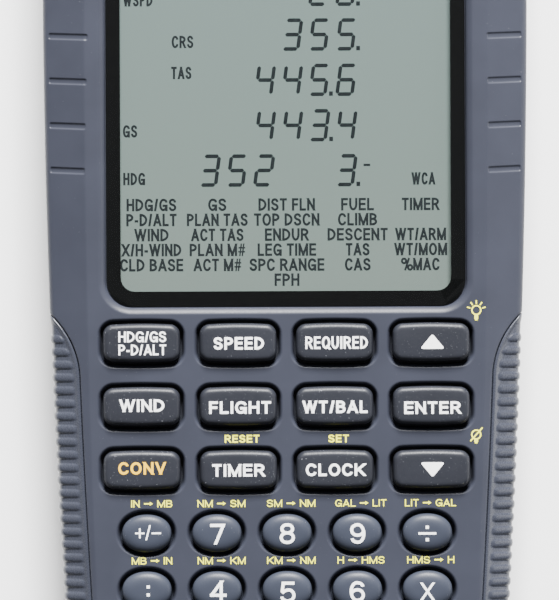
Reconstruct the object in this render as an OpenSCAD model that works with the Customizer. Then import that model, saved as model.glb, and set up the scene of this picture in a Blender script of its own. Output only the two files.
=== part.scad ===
// Hand-held electronic flight computer, lying on its back.
// +Z points out of the keypad face, +Y towards the top of the display, and the origin is the
// centre of the flat back.  All sizes are millimetres.

/* [Housing] */
// Length of the housing, top edge to bottom edge
body_len = 170; // [168:0.5:172]
// Half of the greatest width of the housing
max_half_width = 41.4; // [41:0.1:42]
// Distance of the widest place above the middle
widest_y = 53; // [50:1:56]
// Radius of the long, slightly bowed sides
side_radius = 1835; // [1700:5:2000]
// Radius of the four corners of the outline
corner_r = 9; // [8:0.5:10]
// Height of the flat keypad face above the back
face_z = 20; // [20:0.1:20.4]
// Height at which the front and rear halves meet
parting_z = 10.5; // [10:0.1:11]
// Wall thickness of both halves
wall = 2; // [1.8:0.1:2.2]

/* [Display] */
// Half width of the clear lens
lens_half_w = 30.6; // [30.4:0.1:30.8]
// Lower edge of the lens
lens_bottom = -7.65; // [-7.7:0.05:-7.6]
// Upper edge of the lens
lens_top = 61.8; // [61:0.1:62]
// Thickness of the lens
lens_t = 1; // [0.8:0.1:1]

/* [Keys] */
// Length of a function key
wide_key_len = 13.1; // [12.8:0.1:13.2]
// Height of a function key
wide_key_ht = 6.6; // [6.4:0.1:6.8]
// Length of an oval number key
oval_key_len = 8.4; // [8.2:0.1:8.6]
// Height of an oval number key
oval_key_ht = 6.4; // [6.2:0.1:6.5]
// How far a key stands above the face
key_rise = 1.35; // [1.2:0.05:1.5]
// Travel of a key
key_travel = 1; // [0.8:0.1:1]
// Clearance around a key in its hole
key_gap = 0.3; // [0.25:0.05:0.35]

/* [Battery bay] */
// Diameter of one cell
cell_d = 10.5; // [10.4:0.1:10.5]
// Length of one cell, with its nub
cell_len = 44.5; // [44.3:0.1:44.5]
// Distance between neighbouring cells
cell_pitch = 10.9; // [10.8:0.1:11]
// Sliding clearance of the battery door
door_gap = 0.15; // [0.1:0.05:0.2]

/* [Grips] */
// Width of a side grip on the front
grip_w = 4.9; // [4.7:0.1:5]
// Distance between grip ribs
rib_pitch = 2.19; // [2.1:0.01:2.3]
// Depth of the grooves between the ribs
rib_depth = 0.45; // [0.3:0.05:0.5]

/* [Hidden] */
WIDE_NAMES = [
    "key_heading", "key_speed", "key_required", "key_up",
    "key_wind", "key_flight", "key_balance", "key_enter",
    "key_convert", "key_timer", "key_clock", "key_down"
];
OVAL_NAMES = [
    "key_sign", "key_7", "key_8", "key_9", "key_divide",
    "key_colon", "key_4", "key_5", "key_6", "key_multiply",
    "key_clear", "key_1", "key_2", "key_3", "key_minus",
    "key_power", "key_0", "key_point", "key_equals", "key_plus"
];

tiny = 0.01;
half_len = body_len / 2;
end_radius = 420;                 // bow of the top and bottom edges
facet_drop = 2.8;                 // fall of the sloping side facets
fold_half = 34.2;                 // half the width of the flat face at its widest
fold_widest_y = 35;
fold_radius = 2435;
end_slope_top = 4.2;              // width of the slope at the top end
end_slope_bottom = 3;             // width of the slope at the bottom end
face_corner_r = 5;
back_edge_r = 3;                  // rounding of the edge round the back
front_edge_r = 1.5;               // rounding between the facets and the side walls
edge_centre_z = face_z - facet_drop - 0.681 * front_edge_r;
grip_zone_y = -5;                 // below this the walls are thicker, behind the grips
grip_wall = 3.6;                  // wall with the grip pocket taken into account
ceiling_z = face_z - wall;        // underside of the keypad face

// Keypad grid
wide_pitch_x = 16.41;
wide_row_y = [-13.8, -24.6, -35.4];
oval_pitch_x = 11.93;
oval_pitch_y = 9.7;
oval_row_y = -46.2;
side_bow = 0.12;
top_bow = 0.25;
wide_corner_r = 1.5;
well_margin = 0.75;               // width of the sunk lip around a key
well_depth = 0.6;
flange_margin = 0.75;             // rim that keeps a key under the face
flange_t = 1;
flange_top = ceiling_z - 0.1;

// Layers, from the back up
board_z = 12.9;
board_t = 1.2;
board_top = board_z + board_t;
mat_t = 0.7;
dome_top = board_top + 2.2;
plunger_z = dome_top + 0.05;
pill_z = board_top + 0.8;
pill_t = 0.4;
ledge_z = ceiling_z;
adhesive_t = 0.15;
lens_z = ledge_z + adhesive_t;
lens_r = 4.5;
lens_gap = 0.15;
bevel_w = 1;                      // polished slope round the lens recess
view_half_w = 28.17;              // visible part of the display
view_bottom = -5.06;
view_top = 59.2;
lcd_z = board_top + 0.9;
lcd_t = 1.5;
lcd_half_w = 30.4;
lcd_bottom = -8.3;
lcd_top = 66;
frame_bar = 1;

// Battery bay
bay_top = -23.2;
bay_bottom = -73.2;
bay_half_w = 2 * cell_pitch + 0.4;
bay_wall = 1.5;
back_t = 1.9;
door_t = 1.8;
door_step_z = 0.95;               // the door's side tongues start here
door_tongue = 0.9;
cell_z = back_t + 0.1 + cell_d / 2;
cell_nub = 1;
plate_t = 0.4;
spring_room = bay_top - bay_bottom - cell_len - plate_t;

// Fasteners
case_screw_xy = [[28, 75], [-28, 75], [34.9, 8], [-34.9, 8], [30.8, -77.3], [-30.8, -77.3]];
board_screw_xy = [[15, 69.6], [-15, 69.6], [33.6, -19.2], [-33.6, -19.2], [31, -60], [-31, -60]];
boss_r = 2.2;
boss_split_z = 9;
screw_r = 0.95;
screw_head_r = 1.9;
screw_head_z = 1.2;
screw_seat_z = 2.8;
board_boss_r = 1.5;
board_screw_r = 0.6;

// Slots pressed into the side facets
slot_count = 7;
slot_first_y = 15.4;
slot_pitch = 7.6;
slot_len = 6.2;
slot_r = 0.65;
slot_lean = 3.3;

// Grips
grip_pocket_gap = 0.15;
grip_t = 1.9;
grip_low_z = 3.4;
grip_arc_r = 15.3;
grip_top_y = -20.3;
grip_bottom_y = -67;
rib_first_y = -14.25;
rib_last_y = -74;
rib_inner_margin = 1.3;

// ---------------------------------------------------------------- outline

function half_width(y) = max_half_width - pow(y - widest_y, 2) / (2 * side_radius);
function fold_half_width(y) = fold_half - pow(y - fold_widest_y, 2) / (2 * fold_radius);
function facet_slope(y) = atan(facet_drop / (half_width(y) - fold_half_width(y)));
function end_y(x) = half_len - x * x / (2 * end_radius);
function edge_x(y, is_face) = is_face ? fold_half_width(y) : half_width(y);

// Right half of the body outline, or of the flat face, shrunk at the side, top and bottom.
function half_outline(is_face, side, top, bottom, r) =
    let (
        x_top = edge_x(half_len - corner_r, is_face) - side - r,
        x_bottom = edge_x(corner_r - half_len, is_face) - side - r,
        y_top = end_y(x_top) - top - r,
        y_bottom = -end_y(x_bottom) + bottom + r
    )
    concat(
        [for (i = [0:4]) [x_bottom * i / 5, -end_y(x_bottom * i / 5) + bottom]],
        [for (a = [-84:14:0]) [x_bottom + r * cos(a), y_bottom + r * sin(a)]],
        [for (i = [1:11]) let (y = y_bottom + (y_top - y_bottom) * i / 12) [edge_x(y, is_face) - side, y]],
        [for (a = [0:14:84]) [x_top + r * cos(a), y_top + r * sin(a)]],
        [for (i = [4:-1:0]) [x_top * i / 5, end_y(x_top * i / 5) - top]]
    );

function closed(half) =
    concat(half, [for (i = [len(half) - 2:-1:1]) [-half[i][0], half[i][1]]]);

module outline(inset = 0) {
    polygon(closed(half_outline(false, inset, inset, inset, corner_r - inset)));
}

// The same outlines as loops of points at height z.
function outline_ring(z, inset) =
    [for (p = closed(half_outline(false, inset, inset, inset, corner_r - inset))) [p[0], p[1], z]];

function face_ring(z) =
    [for (p = closed(half_outline(true, 0, end_slope_top, end_slope_bottom, face_corner_r)))
        [p[0], p[1], z]];

// Solid skinned over loops that all have the same number of points, bottom loop first.
module loft(rings) {
    n = len(rings[0]);
    top = (len(rings) - 1) * n;
    polyhedron(
        points = [for (ring = rings, p = ring) p],
        faces = concat(
            [[for (j = [0:n - 1]) j], [for (j = [n - 1:-1:0]) top + j]],
            [for (i = [0:len(rings) - 2], j = [0:n - 1])
                [i * n + j, (i + 1) * n + j, (i + 1) * n + (j + 1) % n]],
            [for (i = [0:len(rings) - 2], j = [0:n - 1])
                [i * n + j, (i + 1) * n + (j + 1) % n, i * n + (j + 1) % n]]
        )
    );
}

// Full outer shape of the closed housing, or the same shape shrunk all round.
module body_solid(inset = 0) {
    loft([
        for (a = [0:18:90])
            outline_ring(inset + back_edge_r * (1 - cos(a)), inset + back_edge_r * (1 - sin(a))),
        for (b = [0, 23, 46, 68.5])
            outline_ring(edge_centre_z + front_edge_r * sin(b) - inset, inset + front_edge_r * (1 - cos(b))),
        face_ring(face_z - inset)
    ]);
}

function rounded_rect_points(half_x, y0, y1, r) = [
    for (c = [[1, 1, 0], [-1, 1, 90], [-1, -1, 180], [1, -1, 270]], a = [0:15:90])
        [c[0] * (half_x - r) + r * cos(c[2] + a),
         (c[1] > 0 ? y1 - r : y0 + r) + r * sin(c[2] + a)]
];

module rounded_rect(half_x, y0, y1, r) {
    polygon(rounded_rect_points(half_x, y0, y1, r));
}

// ---------------------------------------------------------------- key shapes

function wide_key_xy(i) = [wide_pitch_x * (i % 4 - 1.5), wide_row_y[floor(i / 4)]];
function oval_key_xy(i) = [oval_pitch_x * (i % 5 - 2), oval_row_y - oval_pitch_y * floor(i / 5)];

// One quarter of a rounded rectangle, from the middle of its right side to the middle of its top.
function quarter(a, b, r) = concat(
    [[a, 0]],
    [for (t = [0:18:90]) [a - r + r * cos(t), b - r + r * sin(t)]],
    [[a / 2, b]]
);

// Function key: a rounded rectangle whose four sides bow out a little.
function wide_key_points(grow) =
    let (
        a = wide_key_len / 2 - side_bow + grow,
        b = wide_key_ht / 2 - top_bow + grow,
        q = quarter(a, b, wide_corner_r + grow),
        n = len(q),
        loop = concat(
            q,
            [[0, b]],
            [for (i = [n - 1:-1:1]) [-q[i][0], q[i][1]]],
            [for (p = q) [-p[0], -p[1]]],
            [[0, -b]],
            [for (i = [n - 1:-1:1]) [q[i][0], -q[i][1]]]
        )
    )
    [for (p = loop) [
        p[0] + sign(p[0]) * side_bow * (1 - pow(p[1] / b, 2)),
        p[1] + sign(p[1]) * top_bow * (1 - pow(p[0] / a, 2))
    ]];

// Number key: an ellipse with slightly full shoulders.
function oval_key_points(grow) = [
    for (a = [0:15:345]) [
        (oval_key_len / 2 + grow) * sign(round(cos(a) * 1000)) * pow(abs(cos(a)), 0.93),
        (oval_key_ht / 2 + grow) * sign(round(sin(a) * 1000)) * pow(abs(sin(a)), 0.93)
    ]
];

function cap_points(is_wide, grow) = is_wide ? wide_key_points(grow) : oval_key_points(grow);

module wide_key_2d(grow = 0) {
    polygon(wide_key_points(grow));
}

module oval_key_2d(grow = 0) {
    polygon(oval_key_points(grow));
}

module at_wide_keys() {
    for (i = [0:11]) translate(wide_key_xy(i)) children();
}

module at_oval_keys() {
    for (i = [0:19]) translate(oval_key_xy(i)) children();
}

// Key cap with its retaining rim and the plunger that meets the dome.
module key_cap(is_wide, shade) {
    top = face_z + key_rise;
    color(shade) union() {
        loft([for (step = [[flange_top - 0.1, 0], [top - 0.85, 0], [top - 0.35, -0.25], [top, -1]])
            [for (p = cap_points(is_wide, step[1])) [p[0], p[1], step[0]]]]);
        translate([0, 0, flange_top - flange_t])
            linear_extrude(flange_t) polygon(cap_points(is_wide, flange_margin));
        translate([0, 0, plunger_z])
            cylinder(r = 1.6, h = flange_top - flange_t - plunger_z + tiny, $fn = 24);
    }
}

module wide_key(i) {
    translate(wide_key_xy(i)) key_cap(true, [0.16, 0.17, 0.2]);
}

module oval_key(i) {
    translate(oval_key_xy(i)) key_cap(false, [0.3, 0.33, 0.38]);
}

// ---------------------------------------------------------------- grips

// Area of the right grip seen from above, shrunk (or grown) by gap.
module grip_area(gap) {
    r = grip_arc_r - gap;
    x_top = half_width(grip_top_y) - grip_w + grip_arc_r;
    x_bottom = half_width(grip_bottom_y) - grip_w + grip_arc_r;
    polygon(concat(
        [for (a = [90:6:180]) [x_top + r * cos(a), grip_top_y + r * sin(a)]],
        [for (i = [1:7]) let (y = grip_top_y + (grip_bottom_y - grip_top_y) * i / 8)
            [half_width(y) - grip_w + gap, y]],
        [for (a = [180:6:270]) [x_bottom + r * cos(a), grip_bottom_y + r * sin(a)]]
    ));
}

module right_grip_blank(gap) {
    intersection() {
        difference() {
            body_solid();
            body_solid(grip_t - gap);
        }
        translate([0, 0, grip_low_z + gap]) linear_extrude(face_z) grip_area(gap);
    }
}

// Half-round grooves that leave raised ribs on the facet and on the side wall.
module rib_grooves() {
    for (y = [rib_first_y:-rib_pitch:rib_last_y]) {
        x_edge = half_width(y);
        arc_shift = y > grip_top_y
            ? grip_arc_r - sqrt(pow(grip_arc_r, 2) - pow(y - grip_top_y, 2))
            : y < grip_bottom_y
                ? grip_arc_r - sqrt(pow(grip_arc_r, 2) - pow(y - grip_bottom_y, 2))
                : 0;
        x_inner = x_edge - grip_w + arc_shift + rib_inner_margin;
        slope = facet_slope(y);
        z_inner = face_z - facet_drop + (x_edge - x_inner) * tan(slope);
        if (x_edge - x_inner > 0.8) {
            translate([x_inner, y, z_inner + 0.35]) rotate([0, 90 + slope, 0])
                cylinder(r = 0.75, h = 8, $fn = 16);
            translate([x_edge + 0.3, y, grip_low_z + 1.2]) cylinder(r = 0.75, h = 14, $fn = 16);
        }
    }
}

module right_grip() {
    color([0.36, 0.38, 0.43]) difference() {
        right_grip_blank(grip_pocket_gap);
        rib_grooves();
    }
}

module left_grip() {
    mirror([1, 0, 0]) right_grip();
}

module grip_pockets() {
    for (m = [0, 1]) mirror([m, 0, 0]) difference() {
        translate([0, 0, grip_low_z]) linear_extrude(face_z) grip_area(0);
        body_solid(grip_t);
    }
}

// ---------------------------------------------------------------- housing halves

// Inside of the front half between two heights of y.
module front_cavity(inset, y0, y1) {
    intersection() {
        loft([
            outline_ring(parting_z - 1, inset),
            outline_ring(face_z - facet_drop - inset, inset),
            face_ring(ceiling_z)
        ]);
        translate([-50, y0, 0]) cube([100, y1 - y0, 40]);
    }
}

module front_bosses() {
    for (p = case_screw_xy) translate([p[0], p[1], boss_split_z + 0.02])
        cylinder(r = boss_r, h = ceiling_z + 0.2 - boss_split_z, $fn = 32);
    for (p = board_screw_xy) translate([p[0], p[1], board_top])
        cylinder(r = board_boss_r, h = ceiling_z - board_top + 0.2, $fn = 24);
}

module facet_slots() {
    for (m = [0, 1], i = [0:slot_count - 1]) {
        y = slot_first_y + i * slot_pitch;
        slope = facet_slope(y);
        x = (half_width(y) + fold_half_width(y)) / 2;
        mirror([m, 0, 0])
            translate([x, y, face_z - facet_drop / 2 + 0.2])
                rotate([0, slope, slot_lean])
                    translate([-slot_len / 2, 0, 0]) rotate([0, 90, 0])
                        cylinder(r = slot_r, h = slot_len, $fn = 20);
    }
}

module lens_recess() {
    translate([0, 0, ledge_z]) linear_extrude(face_z)
        rounded_rect(lens_half_w + lens_gap, lens_bottom - lens_gap, lens_top + lens_gap, lens_r);
    loft([for (k = [0, 1]) [
        for (p = rounded_rect_points(lens_half_w + lens_gap + k * bevel_w,
            lens_bottom - lens_gap - k * bevel_w, lens_top + lens_gap + k * bevel_w,
            lens_r + k * bevel_w)) [p[0], p[1], face_z - (1 - k) * bevel_w + k * tiny]
    ]]);
    translate([0, 0, ledge_z - 3]) linear_extrude(6)
        rounded_rect(view_half_w + 0.6, view_bottom - 0.6, view_top + 0.6, 2.6);
}

module key_holes() {
    translate([0, 0, ceiling_z - 1]) linear_extrude(4) {
        at_wide_keys() wide_key_2d(key_gap);
        at_oval_keys() oval_key_2d(key_gap);
    }
    translate([0, 0, face_z - well_depth]) linear_extrude(2) {
        at_wide_keys() wide_key_2d(well_margin);
        at_oval_keys() oval_key_2d(well_margin);
    }
}

module front_case() {
    color([0.35, 0.37, 0.43]) difference() {
        union() {
            difference() {
                intersection() {
                    body_solid();
                    translate([-50, -100, parting_z]) cube([100, 200, 40]);
                }
                front_cavity(wall, grip_zone_y, half_len);
                front_cavity(grip_wall, -half_len, grip_zone_y + 1);
            }
            front_bosses();
            translate([0, 0, lcd_z + lcd_t + 0.1]) linear_extrude(ledge_z - lcd_z - lcd_t + 0.2)
                rounded_rect(lens_half_w + 2, lens_bottom - 1.65, lens_top + 1.9, 2);
        }
        lens_recess();
        key_holes();
        facet_slots();
        grip_pockets();
        for (p = case_screw_xy) translate([p[0], p[1], boss_split_z - 1])
            cylinder(r = screw_r + 0.02, h = 7, $fn = 24);
        for (p = board_screw_xy) translate([p[0], p[1], board_top - 1])
            cylinder(r = board_screw_r + 0.02, h = 4, $fn = 20);
    }
}

// Opening under the battery bay, stepped so that the door's tongues run in it.
module door_opening() {
    translate([-bay_half_w, -100, -1]) cube([2 * bay_half_w, 100 + bay_top, back_t + 1]);
    translate([-bay_half_w - door_tongue, -100, door_step_z - 0.05])
        cube([2 * (bay_half_w + door_tongue), 100 + bay_top, back_t - door_step_z + 0.05]);
}

module bay_walls() {
    wall_h = board_z - 0.5 - back_t;
    for (s = [-1, 1]) translate([s * (bay_half_w + 0.2 + bay_wall / 2) - bay_wall / 2,
            bay_bottom - bay_wall, back_t])
        cube([bay_wall, bay_top - bay_bottom + 2 * bay_wall, wall_h]);
    for (y = [bay_bottom - bay_wall, bay_top]) translate([-bay_half_w - 0.3, y, back_t])
        cube([2 * bay_half_w + 0.6, bay_wall, wall_h]);
}

module rear_case() {
    color([0.34, 0.36, 0.42]) difference() {
        union() {
            difference() {
                intersection() {
                    body_solid();
                    translate([-50, -100, 0]) cube([100, 200, parting_z]);
                }
                translate([0, 0, back_t]) linear_extrude(20) intersection() {
                    outline(wall);
                    translate([-50, grip_zone_y]) square([100, 100]);
                }
                translate([0, 0, back_t]) linear_extrude(20) intersection() {
                    outline(grip_wall);
                    translate([-50, -100]) square([100, 101 + grip_zone_y]);
                }
            }
            bay_walls();
            for (p = case_screw_xy) translate([p[0], p[1], 1])
                cylinder(r = boss_r + 0.5, h = boss_split_z - 1, $fn = 32);
        }
        door_opening();
        grip_pockets();
        for (p = case_screw_xy) translate([p[0], p[1], 0]) {
            translate([0, 0, -1]) cylinder(r = screw_head_r + 0.2, h = screw_seat_z + 1, $fn = 28);
            cylinder(r = screw_r + 0.2, h = 12, $fn = 24);
            translate([0, 0, boss_split_z]) cylinder(r = boss_r + 0.15, h = 3, $fn = 32);
        }
    }
}

// Sliding battery door, with side tongues and raised thumb ridges in a shallow dish.
module battery_door() {
    w = bay_half_w - door_gap;
    color([0.34, 0.36, 0.42]) difference() {
        intersection() {
            body_solid();
            union() {
                translate([-w, -100, -1]) cube([2 * w, 100 + bay_top - door_gap, door_t + 1]);
                translate([-w - door_tongue, -100, door_step_z])
                    cube([2 * (w + door_tongue), 100 + bay_top - door_gap, door_t - door_step_z]);
            }
        }
        difference() {
            translate([0, bay_top - 10, -0.1]) cylinder(r = 7, h = 0.6, $fn = 48);
            for (i = [-2:2]) translate([-5, bay_top - 10 + i * 1.8 - 0.4, 0]) cube([10, 0.8, 2]);
        }
    }
}

// ---------------------------------------------------------------- display

module display_lens() {
    color([0.75, 0.8, 0.82, 0.35]) translate([0, 0, lens_z]) linear_extrude(lens_t)
        rounded_rect(lens_half_w, lens_bottom, lens_top, lens_r);
}

module lens_adhesive() {
    color([0.1, 0.1, 0.11]) translate([0, 0, ledge_z]) linear_extrude(adhesive_t) difference() {
        rounded_rect(lens_half_w, lens_bottom, lens_top, lens_r);
        rounded_rect(view_half_w, view_bottom, view_top, 2.4);
    }
}

module lcd_panel() {
    color([0.6, 0.65, 0.64]) translate([-lcd_half_w, lcd_bottom, lcd_z])
        cube([2 * lcd_half_w, lcd_top - lcd_bottom, lcd_t]);
}

module backlight_panel() {
    color([0.85, 0.88, 0.85]) translate([-lcd_half_w, lcd_bottom, board_top])
        cube([2 * lcd_half_w, lcd_top - lcd_bottom - 3, lcd_z - board_top - 0.05]);
}

module display_frame() {
    gap = 0.1;
    color([0.15, 0.15, 0.16]) translate([0, 0, board_top]) difference() {
        translate([-lcd_half_w - gap - frame_bar, lcd_bottom - gap - frame_bar, 0])
            cube([2 * (lcd_half_w + gap + frame_bar), lcd_top - lcd_bottom + 2 * (gap + frame_bar),
                lcd_z + lcd_t - board_top]);
        translate([-lcd_half_w - gap, lcd_bottom - gap, -1])
            cube([2 * (lcd_half_w + gap), lcd_top - lcd_bottom + 2 * gap, 10]);
    }
}

module lcd_connector_strips() {
    for (x = [-26, 2]) color([0.8, 0.45, 0.5]) translate([x, lcd_top - 2.6, board_top])
        cube([24, 1.8, lcd_z - board_top]);
}

// ---------------------------------------------------------------- board and keypad layers

module key_mat() {
    color([0.2, 0.2, 0.22]) difference() {
        union() {
            translate([-31.6, -79.4, board_top]) cube([63.2, 79.4 - 9.8, mat_t]);
            translate([0, 0, board_top + mat_t - tiny]) {
                at_wide_keys() cylinder(r1 = 2.7, r2 = 1.9, h = dome_top - board_top - mat_t, $fn = 24);
                at_oval_keys() cylinder(r1 = 2.7, r2 = 1.9, h = dome_top - board_top - mat_t, $fn = 24);
            }
        }
        translate([0, 0, board_top - 1]) {
            at_wide_keys() cylinder(r = 1.6, h = pill_z + pill_t - board_top + 1, $fn = 24);
            at_oval_keys() cylinder(r = 1.6, h = pill_z + pill_t - board_top + 1, $fn = 24);
        }
        for (p = case_screw_xy) translate([p[0], p[1], board_top - 1])
            cylinder(r = boss_r + 0.5, h = 4, $fn = 32);
        for (p = board_screw_xy) translate([p[0], p[1], board_top - 1])
            cylinder(r = board_boss_r + 0.4, h = 4, $fn = 24);
    }
}

module contact_pills() {
    color([0.05, 0.05, 0.05]) translate([0, 0, pill_z]) {
        at_wide_keys() cylinder(r = 1.3, h = pill_t, $fn = 20);
        at_oval_keys() cylinder(r = 1.3, h = pill_t, $fn = 20);
    }
}

module main_board() {
    color([0.05, 0.35, 0.15]) translate([0, 0, board_z]) linear_extrude(board_t) difference() {
        intersection() {
            outline(grip_wall + 0.5);
            translate([-50, -100]) square([100, 171.4]);
        }
        for (p = case_screw_xy) translate(p) circle(r = boss_r + 0.5, $fn = 32);
        for (p = board_screw_xy) translate(p) circle(r = board_screw_r + 0.2, $fn = 20);
    }
}

module processor() {
    color([0.08, 0.08, 0.09]) translate([-19, 23, board_z - 1.6]) cube([14, 14, 1.6]);
}

module crystal() {
    color([0.75, 0.75, 0.72]) translate([6, 20, board_z - 1.6]) rotate([0, 90, 0])
        cylinder(r = 1.55, h = 8, $fn = 24);
}

module capacitors() {
    color([0.1, 0.12, 0.3]) for (x = [-24, 24]) translate([x, 4, board_z - 7])
        cylinder(r = 2.5, h = 7, $fn = 24);
}

module buzzer() {
    color([0.1, 0.1, 0.1]) translate([18, 44, board_z - 5]) difference() {
        cylinder(r = 6, h = 5, $fn = 48);
        translate([0, 0, -1]) cylinder(r = 1, h = 2, $fn = 16);
    }
}

// ---------------------------------------------------------------- power

function cell_x(i) = cell_pitch * (i - 1.5);

// Places children at one end of cell i: the positive end points up for even cells.
module at_cell_end(i, positive) {
    up = (i % 2 == 0) == positive;
    translate([cell_x(i), up ? bay_top : bay_bottom, cell_z]) rotate([0, 0, up ? 180 : 0]) children();
}

module battery_cell(i) {
    color([0.75, 0.55, 0.2]) at_cell_end(i, true) translate([0, plate_t + 0.02, 0])
        rotate([-90, 0, 0]) {
            cylinder(r = 1.9, h = cell_nub + tiny, $fn = 24);
            translate([0, 0, cell_nub]) cylinder(r = cell_d / 2, h = cell_len - cell_nub, $fn = 48);
        }
}

module battery_contact_plates() {
    color([0.8, 0.8, 0.78]) for (i = [0:3]) at_cell_end(i, true)
        translate([-4, 0, -3.5]) cube([8, plate_t, 7]);
}

module battery_contact_springs() {
    reach = spring_room - plate_t - 0.6;
    color([0.8, 0.8, 0.78]) for (i = [0:3]) at_cell_end(i, false) {
        translate([-4, 0, -3.5]) cube([8, plate_t, 7]);
        translate([-2.5, plate_t - tiny, -3.5]) rotate([90, 0, 90]) linear_extrude(5)
            polygon([[0, 0], [reach, 3.4], [reach, 4], [0, 7], [0, 6.5], [reach - 0.6, 3.7], [0, 0.5]]);
    }
}

// ---------------------------------------------------------------- screws

module pan_screw(head_r, head_h, r, length) {
    difference() {
        union() {
            cylinder(r = head_r, h = head_h, $fn = 28);
            cylinder(r = r, h = head_h + length, $fn = 20);
        }
        for (a = [0, 90]) rotate(a) translate([-head_r * 0.6, -0.2, -1]) cube([head_r * 1.2, 0.4, 1.6]);
    }
}

module case_screws() {
    color([0.6, 0.6, 0.6]) for (p = case_screw_xy) translate([p[0], p[1], screw_head_z])
        pan_screw(screw_head_r, screw_seat_z - screw_head_z, screw_r, 11);
}

module board_screws() {
    color([0.6, 0.6, 0.6]) for (p = board_screw_xy) translate([p[0], p[1], board_z - 0.8])
        pan_screw(1.2, 0.8, board_screw_r, 4);
}

// ---------------------------------------------------------------- what is drawn

front_case();
rear_case();
battery_door();
left_grip();
right_grip();
display_lens();
lens_adhesive();
lcd_panel();
backlight_panel();
display_frame();
lcd_connector_strips();
key_mat();
contact_pills();
main_board();
processor();
crystal();
capacitors();
buzzer();
battery_contact_plates();
battery_contact_springs();
case_screws();
board_screws();
for (i = [0:3]) battery_cell(i);
for (i = [0:11]) wide_key(i);
for (i = [0:19]) oval_key(i);
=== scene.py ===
"""Hand-held electronic flight computer, lying on its back on a pale table."""

import math

import bmesh
import bpy
import numpy as np
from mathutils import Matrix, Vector
from mathutils.geometry import delaunay_2d_cdt


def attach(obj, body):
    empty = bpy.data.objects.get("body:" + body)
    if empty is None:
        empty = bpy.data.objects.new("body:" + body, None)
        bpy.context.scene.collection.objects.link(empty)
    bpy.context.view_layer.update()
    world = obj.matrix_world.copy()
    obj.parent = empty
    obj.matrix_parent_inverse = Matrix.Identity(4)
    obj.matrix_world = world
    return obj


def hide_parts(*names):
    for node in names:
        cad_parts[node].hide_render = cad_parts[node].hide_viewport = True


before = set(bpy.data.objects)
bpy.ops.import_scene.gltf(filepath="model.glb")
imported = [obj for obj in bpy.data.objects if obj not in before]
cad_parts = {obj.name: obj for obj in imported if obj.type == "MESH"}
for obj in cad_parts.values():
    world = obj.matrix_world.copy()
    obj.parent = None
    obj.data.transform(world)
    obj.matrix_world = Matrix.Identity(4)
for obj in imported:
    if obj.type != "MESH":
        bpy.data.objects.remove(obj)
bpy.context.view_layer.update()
MM = 0.001

# ------------------------------------------------------------------ sizes, in millimetres

HALF_LEN = 85.0
MAX_HALF_WIDTH = 41.4
WIDEST_Y = 53.0
SIDE_RADIUS = 1835.0
END_RADIUS = 420.0
CORNER_R = 9.0
FOLD_HALF = 34.2
FOLD_WIDEST_Y = 35.0
FOLD_RADIUS = 2435.0
END_SLOPE_TOP = 4.2
END_SLOPE_BOTTOM = 3.0
FACE_CORNER_R = 5.0
FACE_Z = 20.0
FACET_DROP = 2.8
EDGE_R = 1.5
EDGE_CENTRE_Z = FACE_Z - FACET_DROP - 0.681 * EDGE_R
PARTING_Z = 10.5
CEILING_Z = 18.0
WALL = 2.0
GRIP_WALL = 3.6
GRIP_ZONE_Y = -5.0

LENS_HALF_W = 30.6
LENS_BOTTOM = -7.65
LENS_TOP = 61.8
LENS_R = 4.5
LENS_GAP = 0.15
LEDGE_Z = 18.0
LEDGE_BOTTOM_Z = 16.6
VIEW_HALF_W = 28.17
VIEW_BOTTOM = -5.06
VIEW_TOP = 59.2
LCD_TOP_Z = 16.5

WIDE_LEN, WIDE_HT = 13.1, 6.6
OVAL_LEN, OVAL_HT = 8.4, 6.4
KEY_TOP_Z = 21.35
FLANGE_TOP, FLANGE_BOTTOM, PLUNGER_Z = 17.9, 16.9, 16.35
WIDE_ROWS = (-13.8, -24.6, -35.4)
WIDE_PITCH_X = 16.41
OVAL_PITCH_X, OVAL_PITCH_Y, OVAL_FIRST_Y = 11.93, 9.7, -46.2

GRIP_W = 4.9
GRIP_T = 1.9
GRIP_LOW_Z = 3.4
GRIP_ARC_R = 15.3
GRIP_TOP_Y, GRIP_BOTTOM_Y = -20.3, -67.0
RIB_PITCH = 2.19
RIB_HALF = 0.32
RIB_FIRST_Y = -15.35

SLOT_COUNT, SLOT_FIRST_Y, SLOT_PITCH = 7, 15.6, 7.6
SLOT_LEAN = math.radians(3.3)
SLOT_HALF_LEN, SLOT_HALF_W, SLOT_R = 3.15, 0.62, 0.45
SLOT_DEPTH, SLOT_WALL = 0.18, 0.34

# Screw bosses of the front half: bottom, top, outer radius and bore radius.
CASE_BOSS = (9.02, 18.05, 2.2, 0.97)
BOARD_BOSS = (14.1, 18.05, 1.5, 0.62)

CASE_SCREWS = ((28, 75), (-28, 75), (34.9, 8), (-34.9, 8), (30.8, -77.3), (-30.8, -77.3))
BOARD_SCREWS = ((15, 69.6), (-15, 69.6), (33.6, -19.2), (-33.6, -19.2), (31, -60), (-31, -60))

WIDE_KEYS = (
    ("key_heading", ("HDG/GS", "P-D/ALT")), ("key_speed", ("SPEED",)),
    ("key_required", ("REQUIRED",)), ("key_up", ("^",)),
    ("key_wind", ("WIND",)), ("key_flight", ("FLIGHT",)),
    ("key_balance", ("WT/BAL",)), ("key_enter", ("ENTER",)),
    ("key_convert", ("CONV",)), ("key_timer", ("TIMER",)),
    ("key_clock", ("CLOCK",)), ("key_down", ("v",)),
)
OVAL_KEYS = (
    ("key_sign", "+/~"), ("key_7", "7"), ("key_8", "8"), ("key_9", "9"), ("key_divide", "|"),
    ("key_colon", ":"), ("key_4", "4"), ("key_5", "5"), ("key_6", "6"), ("key_multiply", "X"),
    ("key_clear", "CLR"), ("key_1", "1"), ("key_2", "2"), ("key_3", "3"), ("key_minus", "~"),
    ("key_power", "ON"), ("key_0", "0"), ("key_point", "."), ("key_equals", "="), ("key_plus", "+"),
)
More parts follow.
